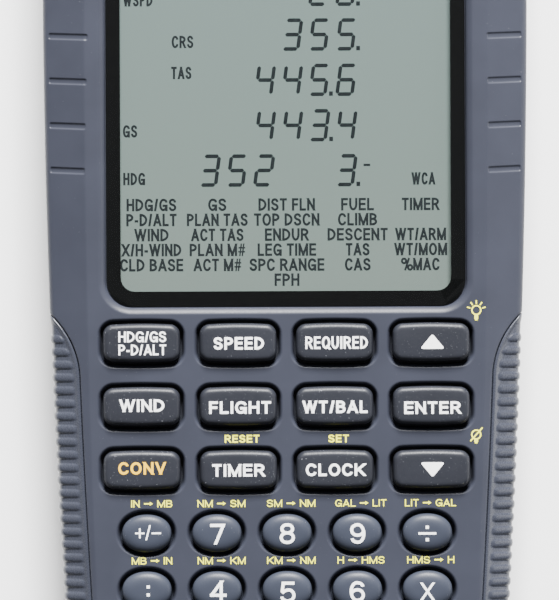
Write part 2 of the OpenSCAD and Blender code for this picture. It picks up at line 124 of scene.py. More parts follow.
OVAL_LABELS = (
    ("IN > MB", "NM > SM", "SM > NM", "GAL > LIT", "LIT > GAL"),
    ("MB > IN", "NM > KM", "KM > NM", "H > HMS", "HMS > H"),
    ("FT > M", "*F > *C", "LB > KG", "NM > FT", "KM > SM"),
    ("M > FT", "*C > *F", "KG > LB", "FT > NM", "SM > KM"),
)

# ------------------------------------------------------------------ flat geometry


def sweep(start, stop, count):
    """Angles in radians from start to stop, which are in degrees."""
    return np.radians(np.linspace(start, stop, count))


def turn(count):
    """Angles of a full circle, the last one not repeating the first."""
    return np.linspace(0, 2 * math.pi, count, endpoint=False)


def arc(x, y, r, angles):
    return [(x + r * math.cos(a), y + r * math.sin(a)) for a in angles]


def half_width(y):
    return MAX_HALF_WIDTH - (y - WIDEST_Y) ** 2 / (2 * SIDE_RADIUS)


def fold_half_width(y):
    return FOLD_HALF - (y - FOLD_WIDEST_Y) ** 2 / (2 * FOLD_RADIUS)


def end_y(x):
    return HALF_LEN - x * x / (2 * END_RADIUS)


def plan_loop(width, side, top, bottom, r):
    """Closed outline whose half width is width(y), shrunk at the sides, top and bottom."""
    x_top = width(HALF_LEN - CORNER_R) - side - r
    x_bottom = width(CORNER_R - HALF_LEN) - side - r
    y_top = end_y(x_top) - top - r
    y_bottom = -end_y(x_bottom) + bottom + r
    half = [(x_bottom * i / 14, -end_y(x_bottom * i / 14) + bottom) for i in range(14)]
    angles = sweep(-90, 0, 15)[1:]
    half += arc(x_bottom, y_bottom, r, angles)
    for i in range(1, 60):
        y = y_bottom + (y_top - y_bottom) * i / 60
        half.append((width(y) - side, y))
    half += arc(x_top, y_top, r, angles + math.pi / 2)
    half += [(x_top * i / 14, end_y(x_top * i / 14) - top) for i in range(13, -1, -1)]
    return np.array(half + [(-x, y) for x, y in half[-2:0:-1]])


def outline(inset):
    return plan_loop(half_width, inset, inset, inset, max(CORNER_R - inset, 0.5))


def face_outline(grow):
    top, bottom = END_SLOPE_TOP - grow, END_SLOPE_BOTTOM - grow
    return plan_loop(fold_half_width, -grow, top, bottom, FACE_CORNER_R + grow)


def rounded_rect(half_x, y0, y1, r, steps=12):
    loop = []
    for sx, y, start in ((1, y1 - r, 0), (-1, y1 - r, 90), (-1, y0 + r, 180), (1, y0 + r, 270)):
        loop += arc(sx * (half_x - r), y, r, sweep(start, start + 90, steps + 1))
    return np.array(loop)


def window_loop(grow):
    low, high = LENS_BOTTOM - LENS_GAP - grow, LENS_TOP + LENS_GAP + grow
    return rounded_rect(LENS_HALF_W + LENS_GAP + grow, low, high, LENS_R + grow)


def view_loop(grow):
    return rounded_rect(VIEW_HALF_W + grow, VIEW_BOTTOM - grow, VIEW_TOP + grow, 2.0 + grow)


def wide_key_loop(grow):
    """A rounded rectangle whose four sides bow out a little."""
    side_bow, top_bow = 0.12, 0.25
    a, b = WIDE_LEN / 2 - side_bow + grow, WIDE_HT / 2 - top_bow + grow
    r = max(1.5 + grow, 0.35)
    quarter = [(a, (b - r) * i / 3) for i in range(3)]
    quarter += arc(a - r, b - r, r, sweep(0, 90, 9))
    quarter += [((a - r) * (1 - i / 6), b) for i in range(1, 6)]
    loop = quarter + [(0, b)] + [(-x, y) for x, y in quarter[:0:-1]]
    loop += [(-x, -y) for x, y in quarter] + [(0, -b)] + [(x, -y) for x, y in quarter[:0:-1]]
    p = np.array(loop)
    bow_x = np.sign(p[:, 0]) * side_bow * (1 - (p[:, 1] / b) ** 2)
    bow_y = np.sign(p[:, 1]) * top_bow * (1 - (p[:, 0] / a) ** 2)
    return np.stack([p[:, 0] + bow_x, p[:, 1] + bow_y], 1)


def oval_key_loop(grow):
    """An ellipse with slightly full shoulders."""
    a = np.radians(np.arange(0, 360, 7.5))
    c, s = np.cos(a), np.sin(a)
    x = (OVAL_LEN / 2 + grow) * np.sign(c) * np.abs(c) ** 0.93
    y = (OVAL_HT / 2 + grow) * np.sign(s) * np.abs(s) ** 0.93
    return np.stack([x, y], 1)


def wide_centre(i):
    return np.array([WIDE_PITCH_X * (i % 4 - 1.5), WIDE_ROWS[i // 4]])


def oval_centre(i):
    return np.array([OVAL_PITCH_X * (i % 5 - 2), OVAL_FIRST_Y - OVAL_PITCH_Y * (i // 5)])


def grip_inner_x(y):
    """Half width at which the grip begins, at height y."""
    x = half_width(min(max(y, GRIP_BOTTOM_Y), GRIP_TOP_Y)) - GRIP_W
    over = max(y - GRIP_TOP_Y, GRIP_BOTTOM_Y - y, 0)
    if over >= GRIP_ARC_R:
        return x + GRIP_ARC_R
    return x + GRIP_ARC_R - math.sqrt(GRIP_ARC_R**2 - over**2)


def grip_end(top):
    """Height y at which the grip's edge meets the side of the housing."""
    inside = GRIP_TOP_Y if top else GRIP_BOTTOM_Y
    outside = inside + GRIP_ARC_R if top else inside - GRIP_ARC_R
    for _ in range(40):
        y = (inside + outside) / 2
        if grip_inner_x(y) < half_width(y):
            inside = y
        else:
            outside = y
    return (inside + outside) / 2


GRIP_Y0, GRIP_Y1 = grip_end(False), grip_end(True)


def grip_loop(shrink):
    """Outline of the right grip's pocket seen from above, run on past the housing's side."""
    r = GRIP_ARC_R - shrink
    x_top = half_width(GRIP_TOP_Y) - GRIP_W + GRIP_ARC_R
    x_bottom = half_width(GRIP_BOTTOM_Y) - GRIP_W + GRIP_ARC_R
    loop = arc(x_top, GRIP_TOP_Y, r, sweep(90, 180, 28))
    for i in range(1, 20):
        y = GRIP_TOP_Y + (GRIP_BOTTOM_Y - GRIP_TOP_Y) * i / 20
        loop.append((half_width(y) - GRIP_W + shrink, y))
    loop += arc(x_bottom, GRIP_BOTTOM_Y, r, sweep(180, 270, 28))
    return np.array(loop)


def slot_places():
    """Centre, lean and half length of each slot pressed into the facets."""
    for mirror in (1, -1):
        for i in range(SLOT_COUNT):
            y = SLOT_FIRST_Y + SLOT_PITCH * i
            longer = 0.12 * min(i, 3) if mirror < 0 else 0.06 * min(i, 3) - 0.18
            x = (half_width(y) + fold_half_width(y) - 0.9) / 2 - longer
            yield np.array([mirror * x, y]), SLOT_LEAN * mirror, SLOT_HALF_LEN + longer


def slot_loop(centre, lean, half, grow):
    loop = rounded_rect(half + grow, -SLOT_HALF_W - grow, SLOT_HALF_W + grow, SLOT_R + grow, 5)
    c, s = math.cos(lean), math.sin(lean)
    return centre + loop @ np.array([[c, s], [-s, c]])


def inside(points, loop):
    """Which points lie inside a closed loop."""
    x, y = points[:, 0][:, None], points[:, 1][:, None]
    a, b = loop, np.roll(loop, -1, axis=0)
    straddles = (a[:, 1] > y) != (b[:, 1] > y)
    rise = np.where(b[:, 1] == a[:, 1], 1, b[:, 1] - a[:, 1])
    left = x < (b[:, 0] - a[:, 0]) * (y - a[:, 1]) / rise + a[:, 0]
    return (straddles & left).sum(1) % 2 == 1


def distance(points, loop):
    """Signed distance to a closed loop, positive inside."""
    out = np.empty(len(points))
    a, b = loop, np.roll(loop, -1, axis=0)
    ab = b - a
    length2 = np.maximum((ab**2).sum(1), 1e-12)
    for k in range(0, len(points), 3000):
        p = points[k : k + 3000]
        ap = p[:, None, :] - a[None]
        t = np.clip((ap * ab).sum(-1) / length2, 0, 1)
        d = np.sqrt(((ap - t[..., None] * ab) ** 2).sum(-1).min(1))
        out[k : k + 3000] = np.where(inside(p, loop), d, -d)
    return out


OUTER = outline(0)
FACE = face_outline(0)
GRIP_POCKET = grip_loop(0)


def smooth(t):
    t = np.clip(t, 0, 1)
    return t * t * (3 - 2 * t)


def soft_step(d, w=0.3):
    """0 below -w, d above w, and a smooth bend between."""
    return np.where(d <= -w, 0, np.where(d >= w, d, (d + w) ** 2 / (4 * w)))


def outer_z(points):
    """Height of the closed outer surface, without pockets, slots or holes."""
    e = np.maximum(distance(points, OUTER), 0)
    d = -distance(points, FACE)
    share = np.clip(soft_step(d) / np.maximum(d + e, 0.5), 0, 1)
    z = FACE_Z - FACET_DROP * share
    round_e = np.minimum(e, 0.95)
    plane = FACE_Z - FACET_DROP + 0.394 * round_e
    arc = EDGE_CENTRE_Z + np.sqrt(np.maximum(EDGE_R**2 - (EDGE_R - round_e) ** 2, 0))
    return z - np.maximum(plane - arc, 0)


def slot_drop(points):
    drop = np.zeros(len(points))
    for centre, lean, half in slot_places():
        near = np.abs(points - centre).max(1) < 4.5
        if not near.any():
            continue
        depth = distance(points[near], slot_loop(centre, lean, half, 0))
        drop[near] = np.maximum(drop[near], SLOT_DEPTH * smooth(depth / SLOT_WALL))
    return drop


def top_z(points):
    """Height of the front half's outer surface."""
    z = outer_z(points) - slot_drop(points)
    into = distance(np.stack([np.abs(points[:, 0]), points[:, 1]], 1), GRIP_POCKET)
    z -= np.where(into > 0.01, GRIP_T, 0.12 * np.clip(1 + into / 0.2, 0, 1) ** 2)
    return z


# ------------------------------------------------------------------ mesh building


def mesh_object(name, verts, faces, materials, body, face_materials=None, sharp=38, merge=None):
    """Builds a smooth-shaded mesh from millimetre points and puts it on a body."""
    mesh = bpy.data.meshes.new(name)
    points = [tuple(v) for v in np.asarray(verts, float) * MM]
    mesh.from_pydata(points, [], [tuple(map(int, f)) for f in faces])
    if face_materials is not None:
        mesh.polygons.foreach_set("material_index", np.asarray(face_materials, np.int32))
    for m in materials:
        mesh.materials.append(m)
    if merge:
        bm = bmesh.new()
        bm.from_mesh(mesh)
        bmesh.ops.remove_doubles(bm, verts=bm.verts, dist=merge * MM)
        bmesh.ops.dissolve_degenerate(bm, edges=bm.edges, dist=1e-7)
        bm.to_mesh(mesh)
        bm.free()
    mesh.polygons.foreach_set("use_smooth", [True] * len(mesh.polygons))
    mesh.set_sharp_from_angle(angle=math.radians(sharp))
    mesh.update()
    obj = bpy.data.objects.new(name, mesh)
    bpy.context.scene.collection.objects.link(obj)
    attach(obj, body)
    return obj


class Solid:
    """Collects points and faces, with a material number for each face."""

    def __init__(self):
        self.verts, self.faces, self.mats = [], [], []

    def add(self, verts, faces, mat=0):
        start = len(self.verts)
        self.verts.extend(map(tuple, verts))
        self.faces.extend(tuple(start + i for i in f) for f in faces)
        self.mats.extend([mat] * len(faces))

    def band(self, lower, upper, mat=0):
        """Quads between two loops of 3-D points with the same count, seen from outside."""
        n = len(lower)
        faces = [(j, (j + 1) % n, n + (j + 1) % n, n + j) for j in range(n)]
        self.add(list(lower) + list(upper), faces, mat)


def lift(loop, z):
    return np.column_stack([loop, np.full(len(loop), z) if np.isscalar(z) else z])


def plan_mesh(loops, outer, holes, height, flip=False):
    """Triangulates the region inside outer and outside holes; loops are (points, z or None)."""
    points, edges, known = [], [], []
    for loop, z in loops:
        start, n = len(points), len(loop)
        points.extend(Vector(p) for p in loop)
        edges.extend((start + i, start + (i + 1) % n) for i in range(n))
        known.extend([np.nan] * n if z is None else [z] * n if np.isscalar(z) else list(z))
    out, _, tris, origins, _, _ = delaunay_2d_cdt(points, edges, [], 0, 1e-5, True)
    flat = np.array([(p.x, p.y) for p in out])
    tris = np.array(tris)
    middle = flat[tris].mean(1)
    keep = inside(middle, outer)
    for hole in holes:
        low, high = hole.min(0), hole.max(0)
        near = keep & ((middle > low) & (middle < high)).all(1)
        keep[near] &= ~inside(middle[near], hole)
    tris = tris[keep]
    z = np.full(len(flat), np.nan)
    for i, origin in enumerate(origins):
        for k in origin:
            if not math.isnan(known[k]):
                z[i] = known[k]
    used = np.unique(tris)
    missing = used[np.isnan(z[used])]
    if len(missing):
        z[missing] = height(flat[missing])
    index = np.zeros(len(flat), int)
    index[used] = np.arange(len(used))
    tris = index[tris]
    return np.column_stack([flat[used], z[used]]), tris[:, ::-1] if flip else tris


# ------------------------------------------------------------------ lettering

# Each glyph: width, then strokes of (x, y) or (x, y, corner radius) on a unit box.
BOWL = 0.3
STEM, RIGHT = [(0, 0), (0, 1)], [(1, 0), (1, 1)]
BASE, TOP = [(0, 0), (1, 0)], [(0, 1), (1, 1)]
RING = [(0, 0.5), (0, 1, 0.5), (1, 1, 0.5), (1, 0, 0.5), (0, 0, 0.5), (0, 0.5)]
EIGHT = ([(0.06, 0.77), (0.06, 1, 0.24), (0.94, 1, 0.24), (0.94, 0.54, 0.24), (0.06, 0.54, 0.24),
          (0.06, 0.77)],
         [(0, 0.27), (0, 0.54, 0.28), (1, 0.54, 0.28), (1, 0, 0.28), (0, 0, 0.28), (0, 0.27)])
GLYPHS = {
    "A": (0.74, [[(0, 0), (0.5, 1)], [(0.5, 1), (1, 0)], [(0.2, 0.27), (0.8, 0.27)]]),
    "B": (0.66, [STEM, [(0, 1), (0.92, 1, BOWL), (0.92, 0.53, BOWL), (0, 0.53)],
                 [(0, 0.53), (1, 0.53, BOWL), (1, 0, BOWL), (0, 0)]]),
    "C": (0.7, [[(1, 0.72), (1, 1, 0.36), (0, 1, 0.5), (0, 0, 0.5), (1, 0, 0.36), (1, 0.28)]]),
    "D": (0.7, [STEM, [(0, 1), (1, 1, 0.5), (1, 0, 0.5), (0, 0)]]),
    "E": (0.6, [STEM, TOP, [(0, 0.52), (0.93, 0.52)], BASE]),
    "F": (0.56, [STEM, TOP, [(0, 0.5), (0.9, 0.5)]]),
    "G": (0.74, [[(1, 0.74), (1, 1, 0.36), (0, 1, 0.5), (0, 0, 0.5), (0.96, 0, 0.36), (1, 0.42),
                  (0.55, 0.42)], [(1, 0), (1, 0.42)]]),
    "H": (0.68, [STEM, RIGHT, [(0, 0.52), (1, 0.52)]]),
    "I": (0.0, [[(0.5, 0), (0.5, 1)]]),
    "K": (0.7, [STEM, [(1, 1), (0, 0.34)], [(0.32, 0.55), (1, 0)]]),
    "L": (0.56, [STEM, BASE]),
    "M": (0.84, [STEM, [(0, 1), (0.5, 0)], [(0.5, 0), (1, 1)], RIGHT]),
    "N": (0.68, [STEM, [(0, 1), (1, 0)], RIGHT]),
    "O": (0.76, "ring"),
    "P": (0.64, [STEM, [(0, 1), (1, 1, BOWL), (1, 0.46, BOWL), (0, 0.46)]]),
    "Q": (0.76, "ring", [[(0.6, 0.24), (1.02, -0.04)]]),
    "R": (0.68, [STEM, [(0, 1), (0.95, 1, BOWL), (0.95, 0.48, BOWL), (0, 0.48)], [(0.52, 0.48), (0.98, 0)]]),
    "S": (0.66, [[(0.97, 0.74), (0.97, 1, BOWL), (0.03, 1, BOWL), (0.03, 0.56, 0.24), (1, 0.46, 0.24),
                  (1, 0, BOWL), (0, 0, BOWL), (0, 0.27)]]),
    "T": (0.62, [TOP, [(0.5, 0), (0.5, 1)]]),
    "U": (0.68, [[(0, 1), (0, 0, 0.42), (1, 0, 0.42), (1, 1)]]),
    "V": (0.7, [[(0, 1), (0.5, 0)], [(0.5, 0), (1, 1)]]),
    "W": (1.02, [[(0, 1), (0.25, 0)], [(0.25, 0), (0.5, 1)], [(0.5, 1), (0.75, 0)], [(0.75, 0), (1, 1)]]),
    "X": (0.7, [[(0, 0), (1, 1)], [(0, 1), (1, 0)]]),
    "/": (0.34, [[(0, 0), (1, 1)]]),
    "-": (0.36, [[(0.1, 0.38), (0.9, 0.38)]]),
    "~": (0.62, [[(0, 0.45), (1, 0.45)]]),
    "+": (0.62, [[(0, 0.45), (1, 0.45)], [(0.5, 0.08), (0.5, 0.82)]]),
    "=": (0.62, [[(0, 0.28), (1, 0.28)], [(0, 0.64), (1, 0.64)]]),
    ".": (0.0, [[(0.5, 0.0), (0.5, 0.02)]]),
    ":": (0.0, "colon"),
    "|": (0.72, "divide"),
    "*": (0.3, "degree"),
    ">": (0.95, "arrow"),
    "^": (1.0, "up"),
    "v": (1.0, "down"),
    "#": (0.62, [[(0.18, 0), (0.42, 1)], [(0.62, 0), (0.86, 1)], [(0, 0.32), (0.95, 0.32)],
                 [(0.05, 0.68), (1, 0.68)]]),
    "%": (0.95, "percent"),
    "0": (0.62, "ring"),
    "1": (0.36, [[(0, 0.76), (0.85, 1)], [(0.85, 0), (0.85, 1)]]),
    "2": (0.6, [[(0, 0.7), (0, 1, BOWL), (1, 1, BOWL), (1, 0.56, 0.2), (0, 0)], BASE]),
    "3": (0.6, [[(0, 0.74), (0, 1, BOWL), (0.95, 1, BOWL), (0.95, 0.54, 0.2), (0.4, 0.54)],
                [(0.4, 0.54), (1, 0.54, BOWL), (1, 0, BOWL), (0, 0, BOWL), (0, 0.26)]]),
    "4": (0.64, [[(0.74, 0), (0.74, 1)], [(0.74, 1), (0, 0.26)], [(0, 0.26), (1.04, 0.26)]]),
    "5": (0.6, [[(0.92, 1), (0.12, 1)], [(0.12, 1), (0.03, 0.5)],
                [(0.03, 0.44), (0.2, 0.62, 0.2), (1, 0.62, BOWL), (1, 0, BOWL), (0, 0, BOWL), (0, 0.24)]]),
    "6": (0.6, [[(0.96, 0.78), (0.94, 1, BOWL), (0, 1, 0.42), (0, 0, 0.42), (1, 0, BOWL),
                 (1, 0.6, BOWL), (0.05, 0.6, 0.3), (0.02, 0.36)]]),
    "7": (0.58, [TOP, [(1, 1), (0.36, 0)]]),
    "8": (0.6, "eight"),
    "9": (0.6, [[(0.04, 0.22), (0.06, 0, BOWL), (1, 0, 0.42), (1, 1, 0.42), (0, 1, BOWL),
                 (0, 0.4, BOWL), (0.95, 0.4, 0.3), (0.98, 0.64)]]),
    " ": (0.24, []),
}


def rounded(points):
    """Replaces the corners that have a radius by arcs, as cubic blends of the two sides."""
    out = []
    for i, p in enumerate(points):
        here = np.array(p[:2], float)
        if len(p) < 3 or i in (0, len(points) - 1):
            out.append(here)
            continue
        before, after = np.array(points[i - 1][:2]) - here, np.array(points[i + 1][:2]) - here
        reach_b = min(p[2], np.linalg.norm(before) * (0.5 if len(points[i - 1]) > 2 else 1))
        reach_a = min(p[2], np.linalg.norm(after) * (0.5 if len(points[i + 1]) > 2 else 1))
        a = here + before / np.linalg.norm(before) * reach_b
        b = here + after / np.linalg.norm(after) * reach_a
        for t in np.linspace(0, 1, 8):
            k = 0.552
            c1, c2 = a + (here - a) * k, b + (here - b) * k
            out.append((1 - t) ** 3 * a + 3 * (1 - t) ** 2 * t * c1 + 3 * (1 - t) * t * t * c2 + t**3 * b)
    return [q for i, q in enumerate(out) if i == 0 or np.linalg.norm(q - out[i - 1]) > 1e-4]


def stroke(points, t, closed=False):
    """Quads of width t along a line of points."""
    p = [q for i, q in enumerate(points) if i == 0 or np.linalg.norm(q - points[i - 1]) > 1e-4]
    if closed and np.linalg.norm(p[0] - p[-1]) < 1e-4:
        p.pop()
    ends = p[1:] + p[:1] if closed else p[1:]
    split = []
    for a, b in zip(p, ends):
        parts = max(int(np.linalg.norm(b - a) / 0.4), 1)
        split += [a + (b - a) * k / parts for k in range(parts)]
    p = split if closed else split + [p[-1]]
    n = len(p)
    sides = []
    for i in range(n):
        before = p[i] - p[i - 1] if i > 0 or closed else p[1] - p[0]
        after = p[(i + 1) % n] - p[i] if i < n - 1 or closed else p[-1] - p[-2]
        before, after = before / np.linalg.norm(before), after / np.linalg.norm(after)
        across = np.array([-before[1] - after[1], before[0] + after[0]])
        across /= max(np.linalg.norm(across), 1e-9)
        across *= t / 2 / max(across @ np.array([-before[1], before[0]]), 0.5)
        sides.append((p[i] + across, p[i] - across))
    last = n if closed else n - 1
    return [[sides[i][0], sides[i][1], sides[(i + 1) % n][1], sides[(i + 1) % n][0]] for i in range(last)]


def clip_band(poly, y0, y1):
    """Cuts a convex polygon to y0 <= y <= y1."""
    for sign, limit in ((1, y0), (-1, -y1)):
        out = []
        for i, q in enumerate(poly):
            r = poly[(i + 1) % len(poly)]
            a, b = sign * q[1] - limit, sign * r[1] - limit
            if a >= 0:
                out.append(q)
            if a * b < 0:
                out.append(q + (r - q) * (a / (a - b)))
        poly = out
        if len(poly) < 3:
            return []
    return poly


def at(x, y):
    return np.array([x, y], float)


def circle(x, y, r, n, squash=1.0):
    return [at(x + r * math.cos(a), y + r * squash * math.sin(a)) for a in turn(n)]


def block(x0, y0, x1, y1):
    return [at(*p) for p in ((x0, y0), (x1, y0), (x1, y1), (x0, y1))]


def glyph_path(line, place, h):
    """A glyph's line at its real size, with its corners rounded."""
    return rounded([(*place(p), *(r * h for r in p[2:])) for p in line])


def ring_polys(line, place, t, h):
    return stroke(glyph_path(line, place, h)[:-1], t, True)


def glyph(char, h, t, stretch):
    """Polygons of one character and its width. h is the capital height, t the stroke."""
    entry = GLYPHS[char]
    kind = entry[1]
    w = entry[0] * h * stretch
    t = t * 0.62 if char == "#" else t
    wide, polys = max(w - t, 0), []

    def place(p):
        return at(t / 2 + p[0] * wide, t / 2 + p[1] * (h - t))

    if kind == "ring":
        polys += ring_polys(RING, place, t, h)
    elif kind == "eight":
        for ring in EIGHT:
            polys += ring_polys(ring, place, t, h)
    elif kind == "degree":
        polys += stroke(circle(w / 2, h * 0.8, w * 0.38, 12), t * 0.8, True)
    elif kind == "percent":
        for x, y in ((0.2, 0.76), (0.8, 0.24)):
            polys += stroke(circle(w * x, h * y, h * 0.17, 12, 1.1), t * 0.9, True)
        polys += stroke([at(w * 0.3, 0), at(w * 0.7, h)], t * 0.9)
    elif kind == "arrow":
        y, head = h * 0.5, h * 0.34
        back = w - head * 1.25
        polys += stroke([at(0, y), at(w - head, y)], t * 1.3)
        polys.append([at(back, y - head * 0.8), at(w, y), at(back, y + head * 0.8)])
    elif kind == "divide":
        dot = t * 0.7
        polys += stroke([at(0, h * 0.45), at(w, h * 0.45)], t)
        polys += [block(w / 2 - dot, h * y - dot, w / 2 + dot, h * y + dot) for y in (0.1, 0.8)]
    elif kind == "colon":
        w = t
        polys += [block(0, h * y, t, h * y + t) for y in (0.0, 0.52)]
    elif kind in ("up", "down"):
        w = h * 1.66
        corners = [(0.5, 1, 0.13), (0, 0, 0.15), (1, 0, 0.15)]
        loop = []
        for i in range(3):
            before, here, after = corners[i - 1], corners[i], corners[(i + 1) % 3]
            loop += rounded([before[:2], here, after[:2]])[1:-1]
        flip = kind == "down"
        polys.append([at(p[0] * w, h * (1 - p[1] if flip else p[1])) for p in loop][:: -1 if flip else 1])
    for line in entry[-1] if isinstance(entry[-1], list) else []:
        path = glyph_path(line, place, h)
        for k, end in ((0, line[0]), (-1, line[-1])):
            way = path[k] - path[1 if k == 0 else -2]
            length = np.linalg.norm(way)
            flat = abs(way[1]) < 0.15 * length
            reach = t / 2 if flat else t if end[1] <= 0 or end[1] >= 1 else 0
            path[k] = path[k] + way / length * reach
        polys += [q for q in (clip_band(s, -0.04 * h if char == "Q" else 0, h) for s in stroke(path, t)) if q]
    return polys, max(w, t)


def lettering(text, centre, h, t, stretch=1.0, gap=0.13, left=False, width=None):
    """Groups of polygons, one per character, for a line of text centred on (or starting at) a point."""
    if width:
        for _ in range(3):
            trial = lettering(text, (0, 0), h, t, stretch, gap * stretch)
            xs = [p[0] for polys in trial for poly in polys for p in poly]
            stretch *= width / (max(xs) - min(xs))
        gap *= stretch
    x, groups = 0.0, []
    for i, char in enumerate(text):
        shapes, w = glyph(char, h, t, stretch)
        groups.append([[p + np.array([x, 0.0]) for p in poly] for poly in shapes])
        x += w + (gap * h if i < len(text) - 1 else 0)
    shift = np.array([centre[0] - (0 if left else x / 2), centre[1] - h / 2])
    return [[[p + shift for p in poly] for poly in polys] for polys in groups]


def printed(solid, groups, height, mat=0, ink=0.03, sink=0.03):
    """Adds groups of convex polygons as thin closed layers on the surface height(points)."""
    flats, tops, total = [], [], 0
    for polys in groups:
        points, edges, shapes = [], [], []
        for poly in polys:
            area = sum(a[0] * b[1] - b[0] * a[1] for a, b in zip(poly, poly[1:] + poly[:1]))
            if abs(area) < 1e-6:
                continue
            start, n = len(points), len(poly)
            points += [Vector(p) for p in poly]
            edges += [(start + i, start + (i + 1) % n) for i in range(n)]
            shapes.append(np.array(poly))
        if not shapes:
            continue
        out, _, tris, _, _, _ = delaunay_2d_cdt(points, edges, [], 0, 1e-5, False)
        flat, tris = np.array([(p.x, p.y) for p in out]), np.array(tris)
        middle = flat[tris].mean(1)
        keep = np.zeros(len(tris), bool)
        for shape in shapes:
            keep |= inside(middle, shape)
        flats.append(flat)
        tops.append(tris[keep] + total)
        total += len(flat)
    flat, tris = np.concatenate(flats), np.concatenate(tops)
    used = np.unique(tris)
    index = np.zeros(total, int)
    index[used] = np.arange(len(used))
    flat, tris, n = flat[used], index[tris], len(used)
    z = height(flat)
    directed = {(int(t[i]), int(t[(i + 1) % 3])) for t in tris for i in range(3)}
    walls = [(a, b) for a, b in directed if (b, a) not in directed]
    verts = list(np.column_stack([flat, z + ink])) + list(np.column_stack([flat, z - sink]))
    quads = [(b, a, a + n, b + n) for a, b in sorted(walls)]
    solid.add(verts, [tuple(t) for t in tris] + [(c + n, b + n, a + n) for a, b, c in tris] + quads, mat)


# ------------------------------------------------------------------ materials


def material(name, colour, roughness, specular=0.5, metallic=0.0, coat=0.0, alpha=1.0):
    m = bpy.data.materials.new(name)
    m.use_nodes = True
    bsdf = m.node_tree.nodes["Principled BSDF"]
    bsdf.inputs["Base Color"].default_value = (*colour, 1)
    bsdf.inputs["Roughness"].default_value = roughness
    bsdf.inputs["Specular IOR Level"].default_value = specular
    bsdf.inputs["Metallic"].default_value = metallic
    bsdf.inputs["Coat Weight"].default_value = coat
    bsdf.inputs["Alpha"].default_value = alpha
    return m


def add_node(tree, kind, inputs=None, **settings):
    """Adds a node; each of its inputs gets a value or is joined to another node's socket."""
    node = tree.nodes.new(kind)
    for key, value in settings.items():
        setattr(node, key, value)
    for key, value in (inputs or {}).items():
        if isinstance(value, bpy.types.NodeSocket):
            tree.links.new(value, node.inputs[key])
        else:
            node.inputs[key].default_value = value
    return node


class Nodes:
    """Short calls for building a material's node tree."""

    def __init__(self, m):
        self.tree = m.node_tree
        self.bsdf = self.tree.nodes["Principled BSDF"]

    def new(self, kind, inputs=None, **settings):
        return add_node(self.tree, kind, inputs, **settings)

    def place(self):
        return self.new("ShaderNodeTexCoord").outputs["Object"]

    def noise(self, scale, detail=2.0, rough=0.5, vector=None):
        inputs = {"Scale": scale, "Detail": detail, "Roughness": rough, "Vector": vector or self.place()}
        return self.new("ShaderNodeTexNoise", inputs).outputs["Fac"]

    def ramp(self, fac, stops):
        node = self.new("ShaderNodeValToRGB", {"Fac": fac})
        elements = node.color_ramp.elements
        while len(elements) < len(stops):
            elements.new(0.5)
        for element, (position, colour) in zip(elements, stops):
            element.position = position
            element.color = (*colour, 1)
        return node.outputs["Color"]

    def range(self, value, low, high, to_low, to_high):
        inputs = {"Value": value, "From Min": low, "From Max": high, "To Min": to_low, "To Max": to_high}
        return self.new("ShaderNodeMapRange", inputs).outputs["Result"]

    def mix(self, fac, a, b):
        inputs = {0: fac, 6: a, 7: b}
        inputs = {k: (*v, 1) if isinstance(v, tuple) else v for k, v in inputs.items()}
        return self.new("ShaderNodeMix", inputs, data_type="RGBA").outputs[2]

    def maths(self, operation, a, b):
        return self.new("ShaderNodeMath", {0: a, 1: b}, operation=operation).outputs[0]

    def to(self, name, output):
        self.tree.links.new(output, self.bsdf.inputs[name])

    def bump(self, height, strength, depth):
        node = self.new("ShaderNodeBump", {"Height": height, "Strength": strength, "Distance": depth})
        self.to("Normal", node.outputs["Normal"])


def scaled(colour, k):
    return tuple(min(c * k, 1) for c in colour)


def moulded(name, colour, roughness, grain, depth, specks, specular=0.5, tint=0.1):
    """Moulded plastic: fine texture, soft mottling and a few pale specks of dust."""
    m = material(name, colour, roughness, specular)
    n = Nodes(m)
    place = n.place()
    mottle = n.noise(90.0, 3.0, 0.55, place)
    base = n.ramp(mottle, [(0.3, scaled(colour, 1 - tint)), (0.7, scaled(colour, 1 + tint))])
    dust = n.noise(5200.0, 1.0, 0.5, place)
    patch = n.noise(60.0, 2.0, 0.5, place)
    level = n.maths("ADD", dust, n.maths("MULTIPLY", patch, 0.12))
    mask = n.range(level, specks, specks + 0.05, 0.0, 0.4)
    n.to("Base Color", n.mix(mask, base, (0.55, 0.56, 0.6)))
    fine = n.noise(grain, 3.0, 0.6, place)
    n.to("Roughness", n.range(fine, 0.3, 0.7, roughness - 0.06, roughness + 0.08))
    n.bump(fine, 0.35, depth)
    return m


CASE_COLOUR = (0.0246, 0.0267, 0.0375)
case_mat = moulded("case_plastic", CASE_COLOUR, 0.42, 5200.0, 0.00002, 0.86, 0.2, 0.09)
back_mat = moulded("case_back_plastic", CASE_COLOUR, 0.46, 3600.0, 0.00003, 0.9, 0.2, 0.06)
grip_mat = moulded("grip_rubber", (0.0268, 0.0293, 0.0404), 0.26, 4200.0, 0.00001, 0.9, 0.5, 0.06)
wide_mat = moulded("function_key_plastic", (0.0126, 0.0136, 0.0183), 0.44, 4200.0, 0.00003, 0.8, 0.25, 0.12)
oval_mat = moulded("number_key_plastic", (0.0275, 0.0313, 0.0437), 0.39, 5200.0, 0.00001, 0.84, 0.17, 0.08)


def ink_material(name, colour):
    """Pad-printed ink with a slightly uneven coat."""
    m = material(name, colour, 0.45, 0.4)
    n = Nodes(m)
    coat = n.noise(1800.0, 2.0, 0.5)
    n.to("Base Color", n.ramp(coat, [(0.25, scaled(colour, 0.93)), (0.6, colour)]))
    n.bump(coat, 0.2, 0.00001)
    return m


white_ink = ink_material("white_ink", (0.98, 0.98, 0.98))
yellow_ink = ink_material("yellow_ink", (0.88, 0.86, 0.05))
orange_ink = ink_material("orange_ink", (0.85, 0.49, 0.008))


